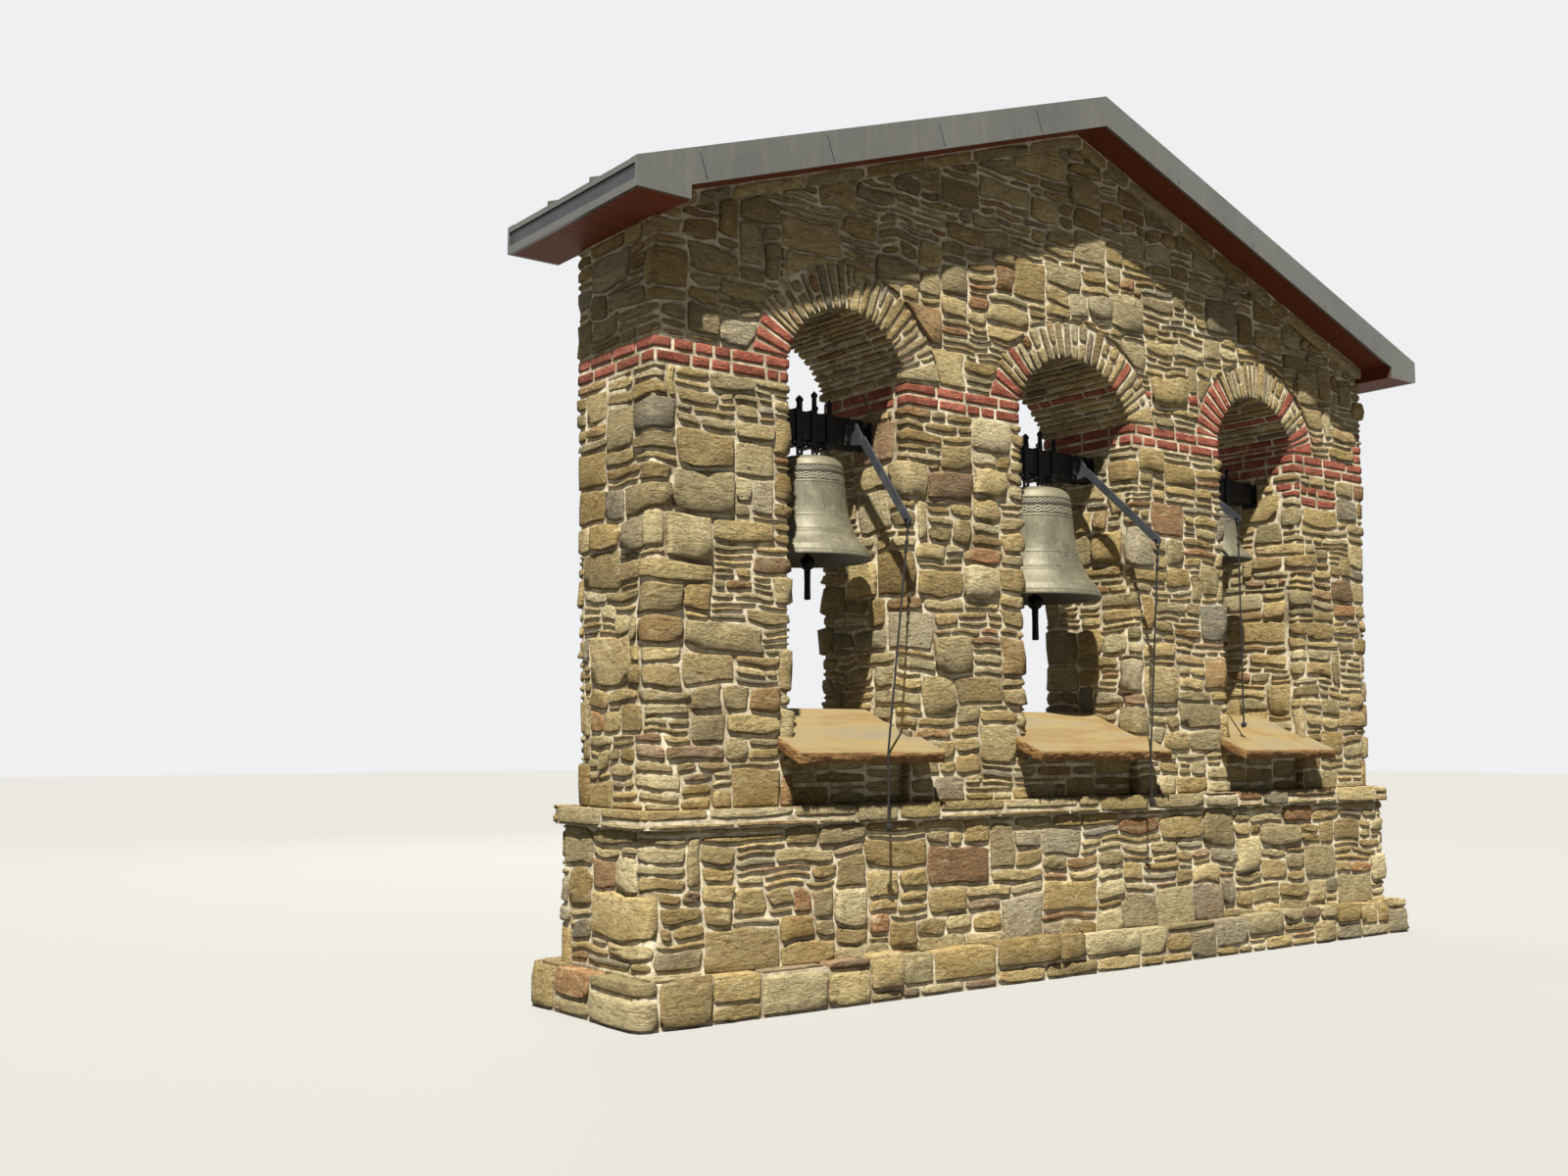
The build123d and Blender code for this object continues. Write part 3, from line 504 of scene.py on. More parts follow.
def between(share, low, high):
    """One between two limits, and nought outside them."""
    return times(sums("GREATER_THAN", share, low), sums("LESS_THAN", share, high))


def span(share, low, high, to_low=0.0, to_high=1.0):
    """A share moved from one span to another, kept within it."""
    return node("ShaderNodeMapRange", enumerate((share, low, high, to_low, to_high))).outputs[0]


def ramp(share, *stops):
    """A colour from a share, by stops of (place, red, green, blue)."""
    made = node("ShaderNodeValToRGB", [(0, share)])
    marks = made.color_ramp.elements
    while len(marks) < len(stops):
        marks.new(0.5)
    for mark, (where, *colour) in zip(marks, stops):
        mark.position, mark.color = where, paint(tuple(colour))
    return made.outputs[0]


def mix(share, first, second, blend="MIX"):
    """A mix of two colours."""
    wires = [(0, share), (6, paint(first)), (7, paint(second))]
    return node("ShaderNodeMix", wires, data_type="RGBA", blend_type=blend).outputs[2]


def coats(colour, *layers):
    """Coats on a colour: each covers where its share runs from low to high, at most so much, with a colour."""
    for share, low, high, cover, coat in layers:
        colour = mix(span(share, low, high, 0, cover), colour, coat)
    return colour


def finished(colour, rough, *bumps, specular=0.5, metallic=0.0):
    """The material with its colour, its roughness and bumps of a height, a distance in metres and a strength."""
    wires = [("Base Color", colour), ("Roughness", rough), ("Specular IOR Level", specular), ("Metallic", metallic)]
    under = []
    for bump in bumps:
        made = node("ShaderNodeBump", [*zip(("Height", "Distance", "Strength"), bump), *under])
        under = [("Normal", made.outputs[0])]
    wire(current.node_tree.nodes["Principled BSDF"], wires + under)
    return current


def stone_finish():
    """Bedded sandstone in ochre, grey and brown, each stone with its own colour; fired pieces are red brick. Painted
    shade darkens each stone's rim, its lower flank and the hollows of its broken face.
    """
    begin("rubble_stone")
    stone = ramp(
        value_of("hue"), (0.00, 212, 192, 140), (0.14, 200, 176, 118), (0.27, 218, 204, 160), (0.40, 184, 172, 132),
        (0.52, 208, 184, 128), (0.64, 182, 156, 102), (0.76, 206, 194, 152), (0.84, 196, 172, 122),
        (0.89, 178, 132, 90), (0.93, 156, 152, 134), (1.00, 222, 208, 166),
    )
    stone = mix(span(noise(5.5, 5, 0.6, 0.4), 0.42, 0.68), stone, mix(0.35, stone, (150, 116, 66)))
    streak = noise(6, 6, 0.62, 0.3, (3.0, 3.0, 12), (0.05, 0.04, 0))
    stone = coats(
        stone, (noise(7.5, 5, 0.6, 0.6, (1, 1, 2.5)), 0.53, 0.70, 0.7, (222, 206, 164)),
        (streak, 0.51, 0.67, 0.45, (112, 88, 54)), (noise(38, 4, 0.7), 0.55, 0.78, 0.4, (214, 198, 158)),
        (noise(21, 5, 0.7, 0.8), 0.60, 0.72, 0.55, (86, 66, 44)),
    )
    fired = mix(span(noise(9, 4, 0.6), 0.35, 0.65), (166, 88, 70), (202, 124, 100))
    fired = coats(
        fired, (noise(60, 3, 0.6), 0.55, 0.75, 0.5, (120, 62, 54)),
        (noise(17, 5, 0.7), 0.58, 0.70, 0.35, (214, 190, 168)),
    )
    stone = mix(value_of("fired"), stone, fired)
    stone = mix(1.0, stone, ramp(value_of("tone"), (0, 198, 194, 186), (1, 255, 255, 255)), "MULTIPLY")
    rim, patchy = value_of("rim"), noise(22, 5, 0.65)
    smear = times(span(rim, 0.72, 0.12), span(patchy, 0.50, 0.66))
    stone = mix(times(smear, 0.75), stone, (216, 206, 180))
    # painted shade: darker near each stone's rim in patches, and on its lower flank where the under value is high
    painted_shade = most(times(span(rim, 0.74, 0.30), span(patchy, 0.56, 0.40)), value_of("under"))
    stone = mix(times(painted_shade, 0.8), stone, (70, 54, 34))
    broken = noise(13, 6, 0.62, 0.9, (1, 1, 3.2))
    # painted shade: darker in the hollows of the broken bump
    stone = coats(stone, (broken, 0.44, 0.34, 0.6, (98, 76, 46)))
    stone = coats(stone, (noise(1.3, 5, 0.65), 0.50, 0.72, 0.20, (104, 94, 78)))
    # split ledges: the height goes up in eleven steps
    steps = times(sums("FLOOR", times(noise(9, 5, 0.58, 1.2, (1, 1, 2.2), (0.06, 0.05, 0)), 11.0)), 0.0909)
    return finished(
        stone, 0.9, (steps, 0.050, 0.8), (broken, 0.036, 1.0), (streak, 0.006, 0.6),
        (noise(34, 6, 0.68, 0.6), 0.015, 1.0), (noise(130, 6, 0.7), 0.0020, 0.7), specular=0.25,
    )


def mortar_finish():
    """Pale lime mortar, brushed in the joints, with sand and darker patches spread by noise."""
    begin("mortar")
    colour = ramp(noise(11, 6, 0.65), (0.34, 148, 132, 102), (0.58, 220, 210, 184))
    colour = coats(colour, (noise(2.1, 5, 0.65), 0.48, 0.66, 0.8, (104, 88, 60)))
    return finished(
        colour, 0.95, (noise(26, 5, 0.6), 0.010, 0.8), (noise(180, 4, 0.7), 0.0016, 0.7), specular=0.2
    )


def banded_stone_finish():
    """Sawn sandstone with quiet bands of buff, ochre and blue-grey; its split edges are browner and rough, and
    darkened further by painted shade.
    """
    begin("sill_stone")
    bands = noise(1.2, 5, 0.50, 0.35, (1.0, 3.4, 9.0), (0.25, 0.18, 0.55))
    colour = ramp(
        bands, (0.28, 122, 113, 94), (0.42, 130, 115, 85), (0.52, 134, 117, 79), (0.60, 126, 102, 66),
        (0.66, 130, 113, 77), (0.78, 117, 104, 77),
    )
    fine = noise(55, 5, 0.65)
    colour = coats(
        colour, (fine, 0.5, 0.8, 0.4, (134, 117, 84)), (noise(3.0, 5, 0.6), 0.46, 0.72, 0.5, (142, 127, 88))
    )
    split = value_of("split")
    layers = noise(3.0, 6, 0.65, 0.5, (3, 3, 26))
    # split edges: browner stone, darkened further by painted shade
    colour = mix(split, colour, ramp(layers, (0.32, 78, 54, 30), (0.50, 118, 86, 50), (0.68, 148, 120, 78)))
    return finished(
        colour, 0.85, (times(layers, split), 0.012, 0.9), (bands, 0.003, 0.35), (noise(30, 5, 0.6), 0.003, 0.5),
        (fine, 0.001, 0.4), specular=0.25,
    )


def boards_finish():
    """Stained boards laid side by side, with grain along them and a groove at each edge."""
    begin("stained_boards")
    across = node("ShaderNodeSeparateXYZ", [(0, here())]).outputs["Y"]
    width = sums("ADD", sums("DIVIDE", across, 0.11), 20.0)
    within = sums("FRACT", width)
    tint = node("ShaderNodeTexWhiteNoise", [("W", sums("FLOOR", width))], noise_dimensions="1D").outputs["Value"]
    grain = noise(5, 6, 0.6, 0.4, (1.2, 22, 22))
    colour = ramp(grain, (0.30, 80, 36, 18), (0.52, 100, 46, 24), (0.72, 120, 60, 32))
    colour = coats(colour, (tint, 0, 1, 0.25, (78, 36, 20)))
    open_joint = span(sums("MINIMUM", within, sums("SUBTRACT", 1.0, within)), 0.0, 0.030)
    colour = mix(open_joint, (52, 24, 14), colour)
    return finished(colour, 0.62, (open_joint, 0.003, 0.8), (grain, 0.0012, 0.5), specular=0.2)


def sheet_finish(name, light, dark):
    """Coated sheet: nearly even, a little buckled, with faint streaks of dust."""
    begin(name)
    streak = noise(3, 5, 0.6, 0, (9, 9, 0.9))
    colour = mix(span(noise(1.7, 4, 0.55, 0.3), 0.35, 0.7), light, dark)
    colour = coats(colour, (streak, 0.5, 0.8, 0.35, mix(0.4, dark, (170, 164, 150))))
    return finished(
        colour, span(streak, 0.3, 0.8, 0.36, 0.56), (noise(1.1, 2, 0.4), 0.012, 0.35),
        (noise(240, 2, 0.5), 0.0003, 0.2), metallic=0.25,
    )


def wave(share, rate, start=0.0):
    """Sine of a share times a rate."""
    return sums("SINE", sums("MULTIPLY_ADD", share, rate, start))


def strand(across, centre, half):
    """Rounded height of a strand: one on its centre line, nought past half its width."""
    away = sums("DIVIDE", sums("ABSOLUTE", sums("SUBTRACT", across, centre)), half)
    return most(sums("SUBTRACT", 1.0, times(away, away)), 0.0)


def bronze_finish(name, light, dark, banded=True):
    """Weathered bronze with dark runs and dust; round the shoulder two plaited bands stand proud of it, with painted
    shade between their strands and a painted highlight on them.
    """
    begin(name)
    cloud = noise(4.5, 6, 0.62, 0.5)
    colour = mix(span(cloud, 0.32, 0.66), dark, light)
    colour = coats(
        colour, (noise(3.0, 5, 0.6, 0, (16, 16, 1.2)), 0.50, 0.72, 0.65, mix(0.45, dark, (40, 38, 30))),
        (noise(26, 5, 0.7), 0.54, 0.70, 0.4, (156, 152, 132)),
    )
    layers = [(cloud, 0.002, 0.35), (noise(90, 5, 0.65), 0.0009, 0.5)]
    if banded:
        rise, outer = value_of("rise"), value_of("outer")
        angle = sums("ARCTAN2", value_of("north"), value_of("east"))
        wide, narrow = span(rise, 0.750, 0.832), span(rise, 0.854, 0.892)
        across = sums("MULTIPLY_ADD", wide, 2.0, -1.0)
        first = wave(angle, 9.0)
        third = times(sums("ARCSINE", wave(angle, 9.0, 1.57)), 0.52)
        plait = strand(across, times(first, 0.62), 0.20)
        for line in (times(first, -1.0), third, times(third, -1.0)):
            plait = most(plait, strand(across, times(line, 0.70), 0.18))
        plait = times(plait, between(wide, 0.001, 0.999))
        across = sums("MULTIPLY_ADD", narrow, 2.0, -1.0)
        swing = wave(angle, 22.0)
        cable = most(*(strand(across, times(swing, side), 0.34) for side in (0.6, -0.6)))
        bands = times(most(plait, times(cable, between(narrow, 0.001, 0.999))), outer)
        # painted shade between the strands of the bands
        colour = mix(times(times(between(rise, 0.750, 0.892), outer), 0.75), colour, (58, 55, 44))
        # painted highlight on the strands
        colour = coats(colour, (bands, 0.15, 0.8, 0.85, (164, 158, 134)))
        colour = mix(times(span(rise, 0.905, 0.925, 0, 0.65), outer), colour, (124, 118, 94))
        colour = mix(times(sums("SUBTRACT", 1.0, outer), 0.7), colour, (52, 50, 42))
        layers.insert(0, (bands, 0.009, 1.0))
    return finished(colour, span(cloud, 0.3, 0.7, 0.48, 0.68), *layers, metallic=0.35)


def iron_finish(name, base, worn, rust=0.25):
    """Painted iron: brush marks, chips here and there and a little rust."""
    begin(name)
    cloud = noise(12, 5, 0.6)
    colour = mix(span(cloud, 0.4, 0.7), base, worn)
    colour = coats(
        colour, (noise(30, 6, 0.7, 0.5), 0.62, 0.72, rust, (108, 60, 36)),
        (noise(8, 6, 0.7, 0.4), 0.60, 0.70, 0.5, mix(0.35, worn, (120, 116, 108))),
    )
    return finished(
        colour, span(cloud, 0.3, 0.7, 0.46, 0.70), (noise(60, 4, 0.6), 0.0012, 0.4), (noise(300, 3, 0.6), 0.0004, 0.4),
        specular=0.12,
    )


def rope_finish():
    """Black laid rope with a dusty nap."""
    begin("black_rope")
    colour = ramp(noise(70, 5, 0.7), (0.35, 16, 15, 15), (0.70, 44, 41, 38))
    return finished(colour, 0.9, (noise(900, 3, 0.6), 0.0008, 0.8))


stone = stone_finish()
mortar = mortar_finish()
dark_sheet = sheet_finish("dark_sheet_metal", (62, 64, 67), (48, 50, 54))
dark_bronze = bronze_finish("dark_bronze", (62, 58, 48), (38, 36, 31), False)
finishes = {
    "rubble_stone": stone, "red_brick": stone, "sill_stone": banded_stone_finish(), "stained_boards": boards_finish(),
    "grey_sheet_metal": sheet_finish("grey_sheet_metal", (104, 104, 98), (92, 92, 88)), "dark_sheet_metal": dark_sheet,
    "bell_bronze": bronze_finish("bell_bronze", (122, 116, 95), (90, 87, 70)),
    "black_painted_iron": iron_finish("black_painted_iron", (9, 8, 8), (19, 18, 17)),
    "grey_painted_steel": iron_finish("grey_painted_steel", (56, 59, 64), (74, 76, 79), 0.15),
    "black_rope": rope_finish(),
}
for part in frame["record"]["subparts"]:
    look = finishes[part["material_slot"]]
    mesh = frame["nodes"][part["node"]].data
    mesh.materials.clear()
    mesh.materials.append(mortar if look == stone else look)


def roof_top(x):
    """Height of the roof's upper face over a place along the wall."""
    return 4.471 + (3.643 - np.abs(x)) * math.tan(SLOPE)


def arch_circle(width):
    """Radius and centre height of an arch, from its rise over the bands."""
    rise = CROWN - BAND_TOP
    radius = ((width / 2) ** 2 + rise**2) / (2 * rise)
    return radius, CROWN - radius


def round_walk(name):
    """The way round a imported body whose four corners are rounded."""
    return Walk(*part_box(name), lambda corner, z: np.full(z.shape, CORNER_ROUND))


# Plinth, base wall and ledge: closed rings round the whole wall
lay_round(
    "plinth_stones", round_walk("plinth"), 0.0, PLINTH_TOP + 0.125, lambda u, z: "base" if z < 0.06 else "caps",
    top=PLINTH_TOP, columns=11, rows=8,
)
lay_round(
    "base_stones", round_walk("base_wall"), 0.225, 1.003, lambda u, z: "base", drift=(0.017, 31), relief=0.026,
    columns=10, rows=8,
)
lay_round(
    "ledge_slabs", round_walk("ledge_course"), 1.0, LEDGE_TOP + 0.155,
    lambda u, z: "slabs" if z < 1.03 and math.sin(7 * u) + math.sin(2.9 * u) > -0.3 else "caps",
    top=LEDGE_TOP, relief=0.010, columns=11, rows=8,
)

# Piers and their brick bands
for index, name in enumerate(["pier_left", "pier_middle_left", "pier_middle_right", "pier_right"]):
    low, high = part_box(name)
    rounds = {0: (0, 3), 3: (1, 2)}.get(index, ())

    def taper(corner, z):
        share = np.clip((z - low[2]) / (high[2] - low[2]), 0, 1)
        return np.where(np.isin(corner, rounds), PIER_ROUND_LOW + (PIER_ROUND_TOP - PIER_ROUND_LOW) * share, 0)

    walk = Walk(low, high, taper)

    def pier_kind(u, z):
        by_jamb = index == 3 and (u < 0.10 or u > walk.length - 0.24) and 3.24 < z < 3.38
        lone = index == 1 and abs(u - walk.sides[0]) < 0.06 and 3.18 < z < 3.25
        return "bricks" if by_jamb or lone else "rubble"

    def before_apron(first, last, lower, upper, kind):
        side, along = walk.spot((first + last) / 2)
        jamb = (side == RIGHT and index < 3) or (side == LEFT and index > 0)
        return not (jamb and abs(along - HALF_DEPTH) + (last - first) / 2 < 0.33 and upper.max() < 1.36)

    def pier_place(u, v, d):
        side, along = walk.spot(u)
        plate = (side % 2 == 1) & (np.abs(along - HALF_DEPTH) < 0.15) & (v > 3.19)
        return walk.wall(u, v, np.where(plate, np.minimum(d, 0.0015), d))

    lay_round(
        f"{name}_stones", walk, LEDGE_TOP, BAND_LOW, pier_kind, pier_place, drift=(0.015, 40 + index),
        shows=before_apron,
    )
    lay_round(f"{name}_bricks", Walk(low, high), BAND_LOW, BAND_TOP, lambda u, z: "bricks", rows=6, slot="red_brick")

# The wall over the bands, up to the eaves and the raking courses
upper_walk = Walk((-HALF_LENGTH, -HALF_DEPTH), (HALF_LENGTH, HALF_DEPTH))
ways = (np.arange(int(round(upper_walk.length / CELL))) + 0.5) * CELL
side, _ = upper_walk.spot(ways)
on_face = side % 2 == 0
across = np.where(side == FRONT, ways - HALF_LENGTH, upper_walk.ends[2] + HALF_LENGTH - ways)
floor = np.full(len(ways), BAND_TOP)
for axis_x, width in zip(AXES, WIDTHS):
    radius, centre_z = arch_circle(width)
    rise = centre_z + np.sqrt(np.maximum((radius + RING) ** 2 - (across - axis_x) ** 2, 0))
    floor = np.where(on_face & (rise > floor), rise, floor)
ceiling = np.where(on_face & (np.abs(across) < RAKE_END), roof_top(across) - RAKE_LOW, EAVE)


def upper_kind(u, z):
    """Brick in a third course at the right end, in a short stack on it, and here and there a lone one."""
    right_end = 6.30 < u < 6.95 and z < 3.70
    stack = 6.42 < u < 6.62 and z < 3.86
    left_end = (u > upper_walk.length - 0.16 or 0.30 < u < 0.50) and z < 3.70
    lone = z < 3.95 and 0.5 + 0.5 * math.sin(12.9898 * u + 78.233 * z) > 0.99
    return "bricks" if right_end or stack or left_end or lone else "rubble"


lay_round("upper_wall_stones", upper_walk, floor, ceiling, upper_kind, drift=(0.016, 61))


def arch_place(axis_x, radius, centre_z, start_angle, u, v, d):
    """Places on an arch: u runs down the front face, through the soffit and up the back, v along the arc."""
    angle = start_angle - v / (radius + RING / 2)
    beyond = u - RING - 2 * HALF_DEPTH
    front, back = (np.clip(1 - np.abs(way) / 0.12, 0, 1) for way in (u - RING, beyond))
    where = [u < RING, u > FAR_EDGE]
    out_y = np.select(where, [-1, 1], back - front)
    out_r = np.select(where, [-front, -back], -1)
    distance = radius + RING - np.clip(u, -0.05, RING) + np.clip(beyond, 0, RING + 0.05) + d * out_r
    depth = -HALF_DEPTH + np.clip(u - RING, 0, 2 * HALF_DEPTH) + d * out_y
    return xyz(axis_x + distance * np.cos(angle), depth, centre_z + distance * np.sin(angle))


def voussoirs(radius, centre_z, start_angle, brick_spans):
    """Rows of thin stones across the arch, from the left springing to the right one, with some of brick."""
    length = FAR_EDGE + RING
    middle = radius + RING / 2
    arc = 2 * (start_angle - math.pi / 2) * middle
    edges, kinds = [0.0], []
    while edges[-1] < arc - 0.09:
        brick = any(low <= edges[-1] / arc < high for low, high in brick_spans)
        thick = 0.076 if kinds else 0.024
        edges.append(edges[-1] + (thick if brick else rng.uniform(0.036, 0.088)))
        kinds.append("bricks" if brick else "rubble")
    edges[-1] = arc - 0.055 if arc - edges[-1] < 0.045 else edges[-1]
    edges.append(arc)
    kinds.append("bricks" if brick_spans[-1][1] == 1 else "rubble")
    laid = []
    for row, kind in enumerate(kinds):
        cuts = [0.0, RING + rng.uniform(0.06, 0.30)]
        stop = FAR_EDGE - rng.uniform(0.06, 0.30)
        while stop - cuts[-1] > 0.42:
            cuts.append(cuts[-1] + rng.uniform(0.20, 0.36))
        cuts += [max(stop, cuts[-1] + 0.1), length]
        if kind == "rubble":
            if rng.random() < 0.3:
                cuts.insert(1, RING * rng.uniform(0.35, 0.65))
            cuts[0] = rng.uniform(-0.045, 0.035)
            cuts[-1] = length - rng.uniform(-0.045, 0.035)
        for start, end in zip(cuts[:-1], cuts[1:]):
            spots = np.linspace(start, end, SPOTS)
            distance = radius + RING - np.clip(spots, 0, RING) + np.clip(spots - length + RING, 0, RING)
            # the first and the last row end on the level top of the band
            wedge = (start_angle - math.pi + np.arcsin((BAND_TOP - centre_z) / np.maximum(distance, radius))) * middle
            lower = np.full(SPOTS, edges[row]) if row else wedge
            upper = np.full(SPOTS, edges[row + 1]) if row + 1 < len(kinds) else arc - wedge
            laid.append((start, end, lower, upper, kind))
    return laid


# The shares of each arch that are of brick, from its left springing to its right one
brick_shares = (
    ((0.0, 0.08), (1.1, 1.1)), ((0.0, 0.04), (0.12, 0.16), (0.78, 0.81), (0.93, 0.96)),
    ((0.0, 0.21), (0.71, 0.74), (0.86, 1)),
)
for name, axis_x, width, shares in zip(NAMES, AXES, WIDTHS, brick_shares):
    radius, centre_z = arch_circle(width)
    start_angle = math.pi - math.asin((BAND_TOP - centre_z) / radius)
    stones_mesh(
        f"arch_{name}_voussoirs", voussoirs(radius, centre_z, start_angle, shares),
        partial(arch_place, axis_x, radius, centre_z, start_angle), (RING, FAR_EDGE), relief=0.020, columns=11, rows=6,
    )


def rake_place(side, u, v, d):
    """Places on a raking course: v below nought is its underside, and above it the face."""
    on_face = v > -0.002
    height = roof_top(u) - RAKE_LOW + np.maximum(v, 0) - np.where(on_face, 0, d) - np.where(np.abs(v) < 0.002, d, 0)
    depth = HALF_DEPTH + 0.06 + np.minimum(v, 0) + np.where(on_face, d, 0)
    return xyz(-side * u, side * depth, height)


def panel_place(side, u, v, d):
    """Places on a flat upright panel that faces the front or the back."""
    return xyz(-side * u, side * (HALF_DEPTH - 0.06 + d), v)


for side, word in SIDES:
    lay_strip(
        f"raking_course_{word}_stones", 2 * RAKE_END, 0, 0.128, "caps", partial(rake_place, side), lift=-0.058,
        joint=0.012, crease=0.0, columns=8,
    )
for name, axis_x, width in zip(NAMES, AXES, WIDTHS):
    for side, word in SIDES:
        lay_strip(
            f"apron_{name}_{word}_stones", width, LEDGE_TOP, 1.45, "dressed", partial(panel_place, side),
            -side * axis_x,
        )


def shells(rings, first, last):
    """Closed shells: rings of points, row after row, and one point that closes each end."""
    count, rows, columns = rings.shape[:3]
    row = np.arange(rows - 1)[:, None] * columns
    here = np.arange(columns)[None]
    after = np.roll(here, -1, 1)
    quad = np.stack([row + here, row + after, row + columns + after, row + columns + here], -1).reshape(-1, 4)
    step = (np.arange(count) * rows * columns)[:, None]
    poles = count * rows * columns + np.arange(2 * count).reshape(2, count, 1) + 0 * here
    low = np.stack([poles[0], after + step, here + step], -1)
    end = (rows - 1) * columns
    high = np.stack([here + end + step, after + end + step, poles[1]], -1)
    faces = [(quad + step[..., None]).reshape(-1, 4), np.concatenate([low, high]).reshape(-1, 3)]
    return np.concatenate([rings.reshape(-1, 3), first, last]), faces


FACING = {
    "up": (EAST, NORTH, UP), "east": (NORTH, UP, EAST), "west": (UP, NORTH, -EAST), "front": (EAST, UP, -NORTH)
}


def turned(places, profile, columns=32, facing="up"):
    """Shapes turned about an axis through each place: a profile point is a radius and a way along the axis."""
    places, profile = np.atleast_2d(np.asarray(places, float)), np.asarray(profile, float)
    angle = np.linspace(0, FULL, columns, endpoint=False)[None, :, None]
    first, second, along = FACING[facing]
    radius, way = profile[1:-1, 0, None, None], profile[1:-1, 1, None, None]
    rings = places[:, None, None] + (radius * (np.cos(angle) * first + np.sin(angle) * second) + way * along)
    return shells(rings, places + profile[0, 1] * along, places + profile[-1, 1] * along)


def both_ways(half):
    """A profile made whole by its own reflection."""
    return half + [(radius, -way) for radius, way in half[::-1]]


def unit(vectors):
    """The vectors, each brought to a length of one."""
    return vectors / np.linalg.norm(vectors, axis=-1, keepdims=True)


def ways_along(points):
    """How far along a line each of its points lies."""
    return np.concatenate([[0], np.cumsum(np.linalg.norm(np.diff(points, axis=0), axis=1))])


def tubes(paths, radius, sides=12, toward=EAST):
    """Round bars along paths: at each point of a path stands a circle square to the way the path goes."""
    paths = np.asarray(paths, float)
    paths = paths[None] if paths.ndim == 2 else paths
    heading = unit(np.gradient(paths, axis=1))
    beside = unit(np.cross(heading, toward))
    across = np.cross(heading, beside)
    angle = np.linspace(0, FULL, sides, endpoint=False)[None, None, :, None]
    reach = np.broadcast_to(radius, paths.shape[:2])[..., None, None]
    rings = paths[:, :, None] + reach * (np.cos(angle) * beside[:, :, None] + np.sin(angle) * across[:, :, None])
    return shells(rings, paths[:, 0], paths[:, -1])


def through(points, count):
    """A smooth line through points: a cubic from each to the next, with the slope that its neighbours give."""
    points = np.asarray(points, float)
    way = ways_along(points)
    slope = np.gradient(points, way, axis=0)
    spots = np.linspace(0, way[-1], count)
    piece = np.clip(np.searchsorted(way, spots, side="right") - 1, 0, len(way) - 2)
    gap = (way[piece + 1] - way[piece])[:, None]
    t = (spots - way[piece])[:, None] / gap
    return (
        (2 * t**3 - 3 * t**2 + 1) * points[piece] + (t**3 - 2 * t**2 + t) * gap * slope[piece]
        + (3 * t**2 - 2 * t**3) * points[piece + 1] + (t**3 - t**2) * gap * slope[piece + 1]
    )


def split_edge(name, start, end, down, out, columns):
    """A rough split edge: a strip from start to end, across by the vector down, that stands out unevenly.

    The way out is three sizes of ripple on a rounded section; the strip's border lies just inside the slab."""
    start, end, down, out = (np.asarray(vector, float) for vector in (start, end, down, out))
    along, share = np.meshgrid(np.linspace(0, 1, columns), (0.0, 0.06, 0.20, 0.36, 0.52, 0.68, 0.84, 0.95, 1.0))
    u, v = along * np.linalg.norm(end - start), share * np.linalg.norm(down)
    seed = int(abs(start @ (731, 397, 113)) * 10) % 997
    rough = 0.0045 * ripple(u, 4 * v, 0.22, seed) + 0.0032 * ripple(u, 3 * v, 0.07, seed + 1)
    rough += 0.0018 * ripple(u, 2 * v, 0.025, seed + 2)
    rim = (share < 0.01) | (share > 0.99) | (along < 1e-6) | (along > 1 - 1e-6)
    depth = np.where(rim, -0.004, np.maximum(0.006 + 0.006 * np.sin(math.pi * share) + rough, 0.0012))
    grid = start + along[..., None] * (end - start) + share[..., None] * down + depth[..., None] * out
    points, faces = closed_grids(grid[None], -0.010 * out)
    faces = [face[:, ::-1] for face in faces]
    return add_mesh(name, "tower", "sill_stone", (points, faces), values={"split": np.ones(len(points))})


for name, axis_x, width in zip(NAMES, AXES, WIDTHS):
    for side, word in SIDES:
        down = SILL_THICKNESS * np.array([0, -side * math.sin(SILL_FALL), -math.cos(SILL_FALL)])
        out = (0, side * math.cos(SILL_FALL), -math.sin(SILL_FALL))
        ends = [axis_x - width / 2 - 0.075, axis_x + width / 2 + 0.075]
        first, last = ((end_x, side * NOSE_OUT, NOSE_HEIGHT) for end_x in ends[:: -side])
        split_edge(f"sill_{name}_{word}_nose", first, last, down, out, 90)
        for end_x, turn, level in zip(ends, (-1, 1), ("low", "high")):
            wall_end = (end_x, side * 0.412, NOSE_HEIGHT + 0.218 * math.tan(SILL_FALL))
            first, last = (wall_end, (end_x, side * 0.629, NOSE_HEIGHT + 0.0004))[:: -turn * side]
            split_edge(f"sill_{name}_{word}_horn_{level}", first, last, (0, 0, -0.0702), (turn, 0, 0), 18)

# Laps of the verge flashing: a thin lip along each seam, square to the slope, drawn in the dark sheet as painted shade
# of the lap
laps = [
    (x, side * 0.7195, roof_top(x) - 0.002)
    + np.linspace(0, 1, 6)[:, None] * (np.array([-math.copysign(math.sin(SLOPE), x), 0, -math.cos(SLOPE)]) * 0.172)
    for side in (-1, 1) for x in (-3.26, -2.39, -1.53, -0.68, 0.79, 1.61, 2.48)
]
add_mesh("verge_laps", "tower", "grey_sheet_metal", tubes(laps, 0.0032, 8, NORTH), finish=dark_sheet)

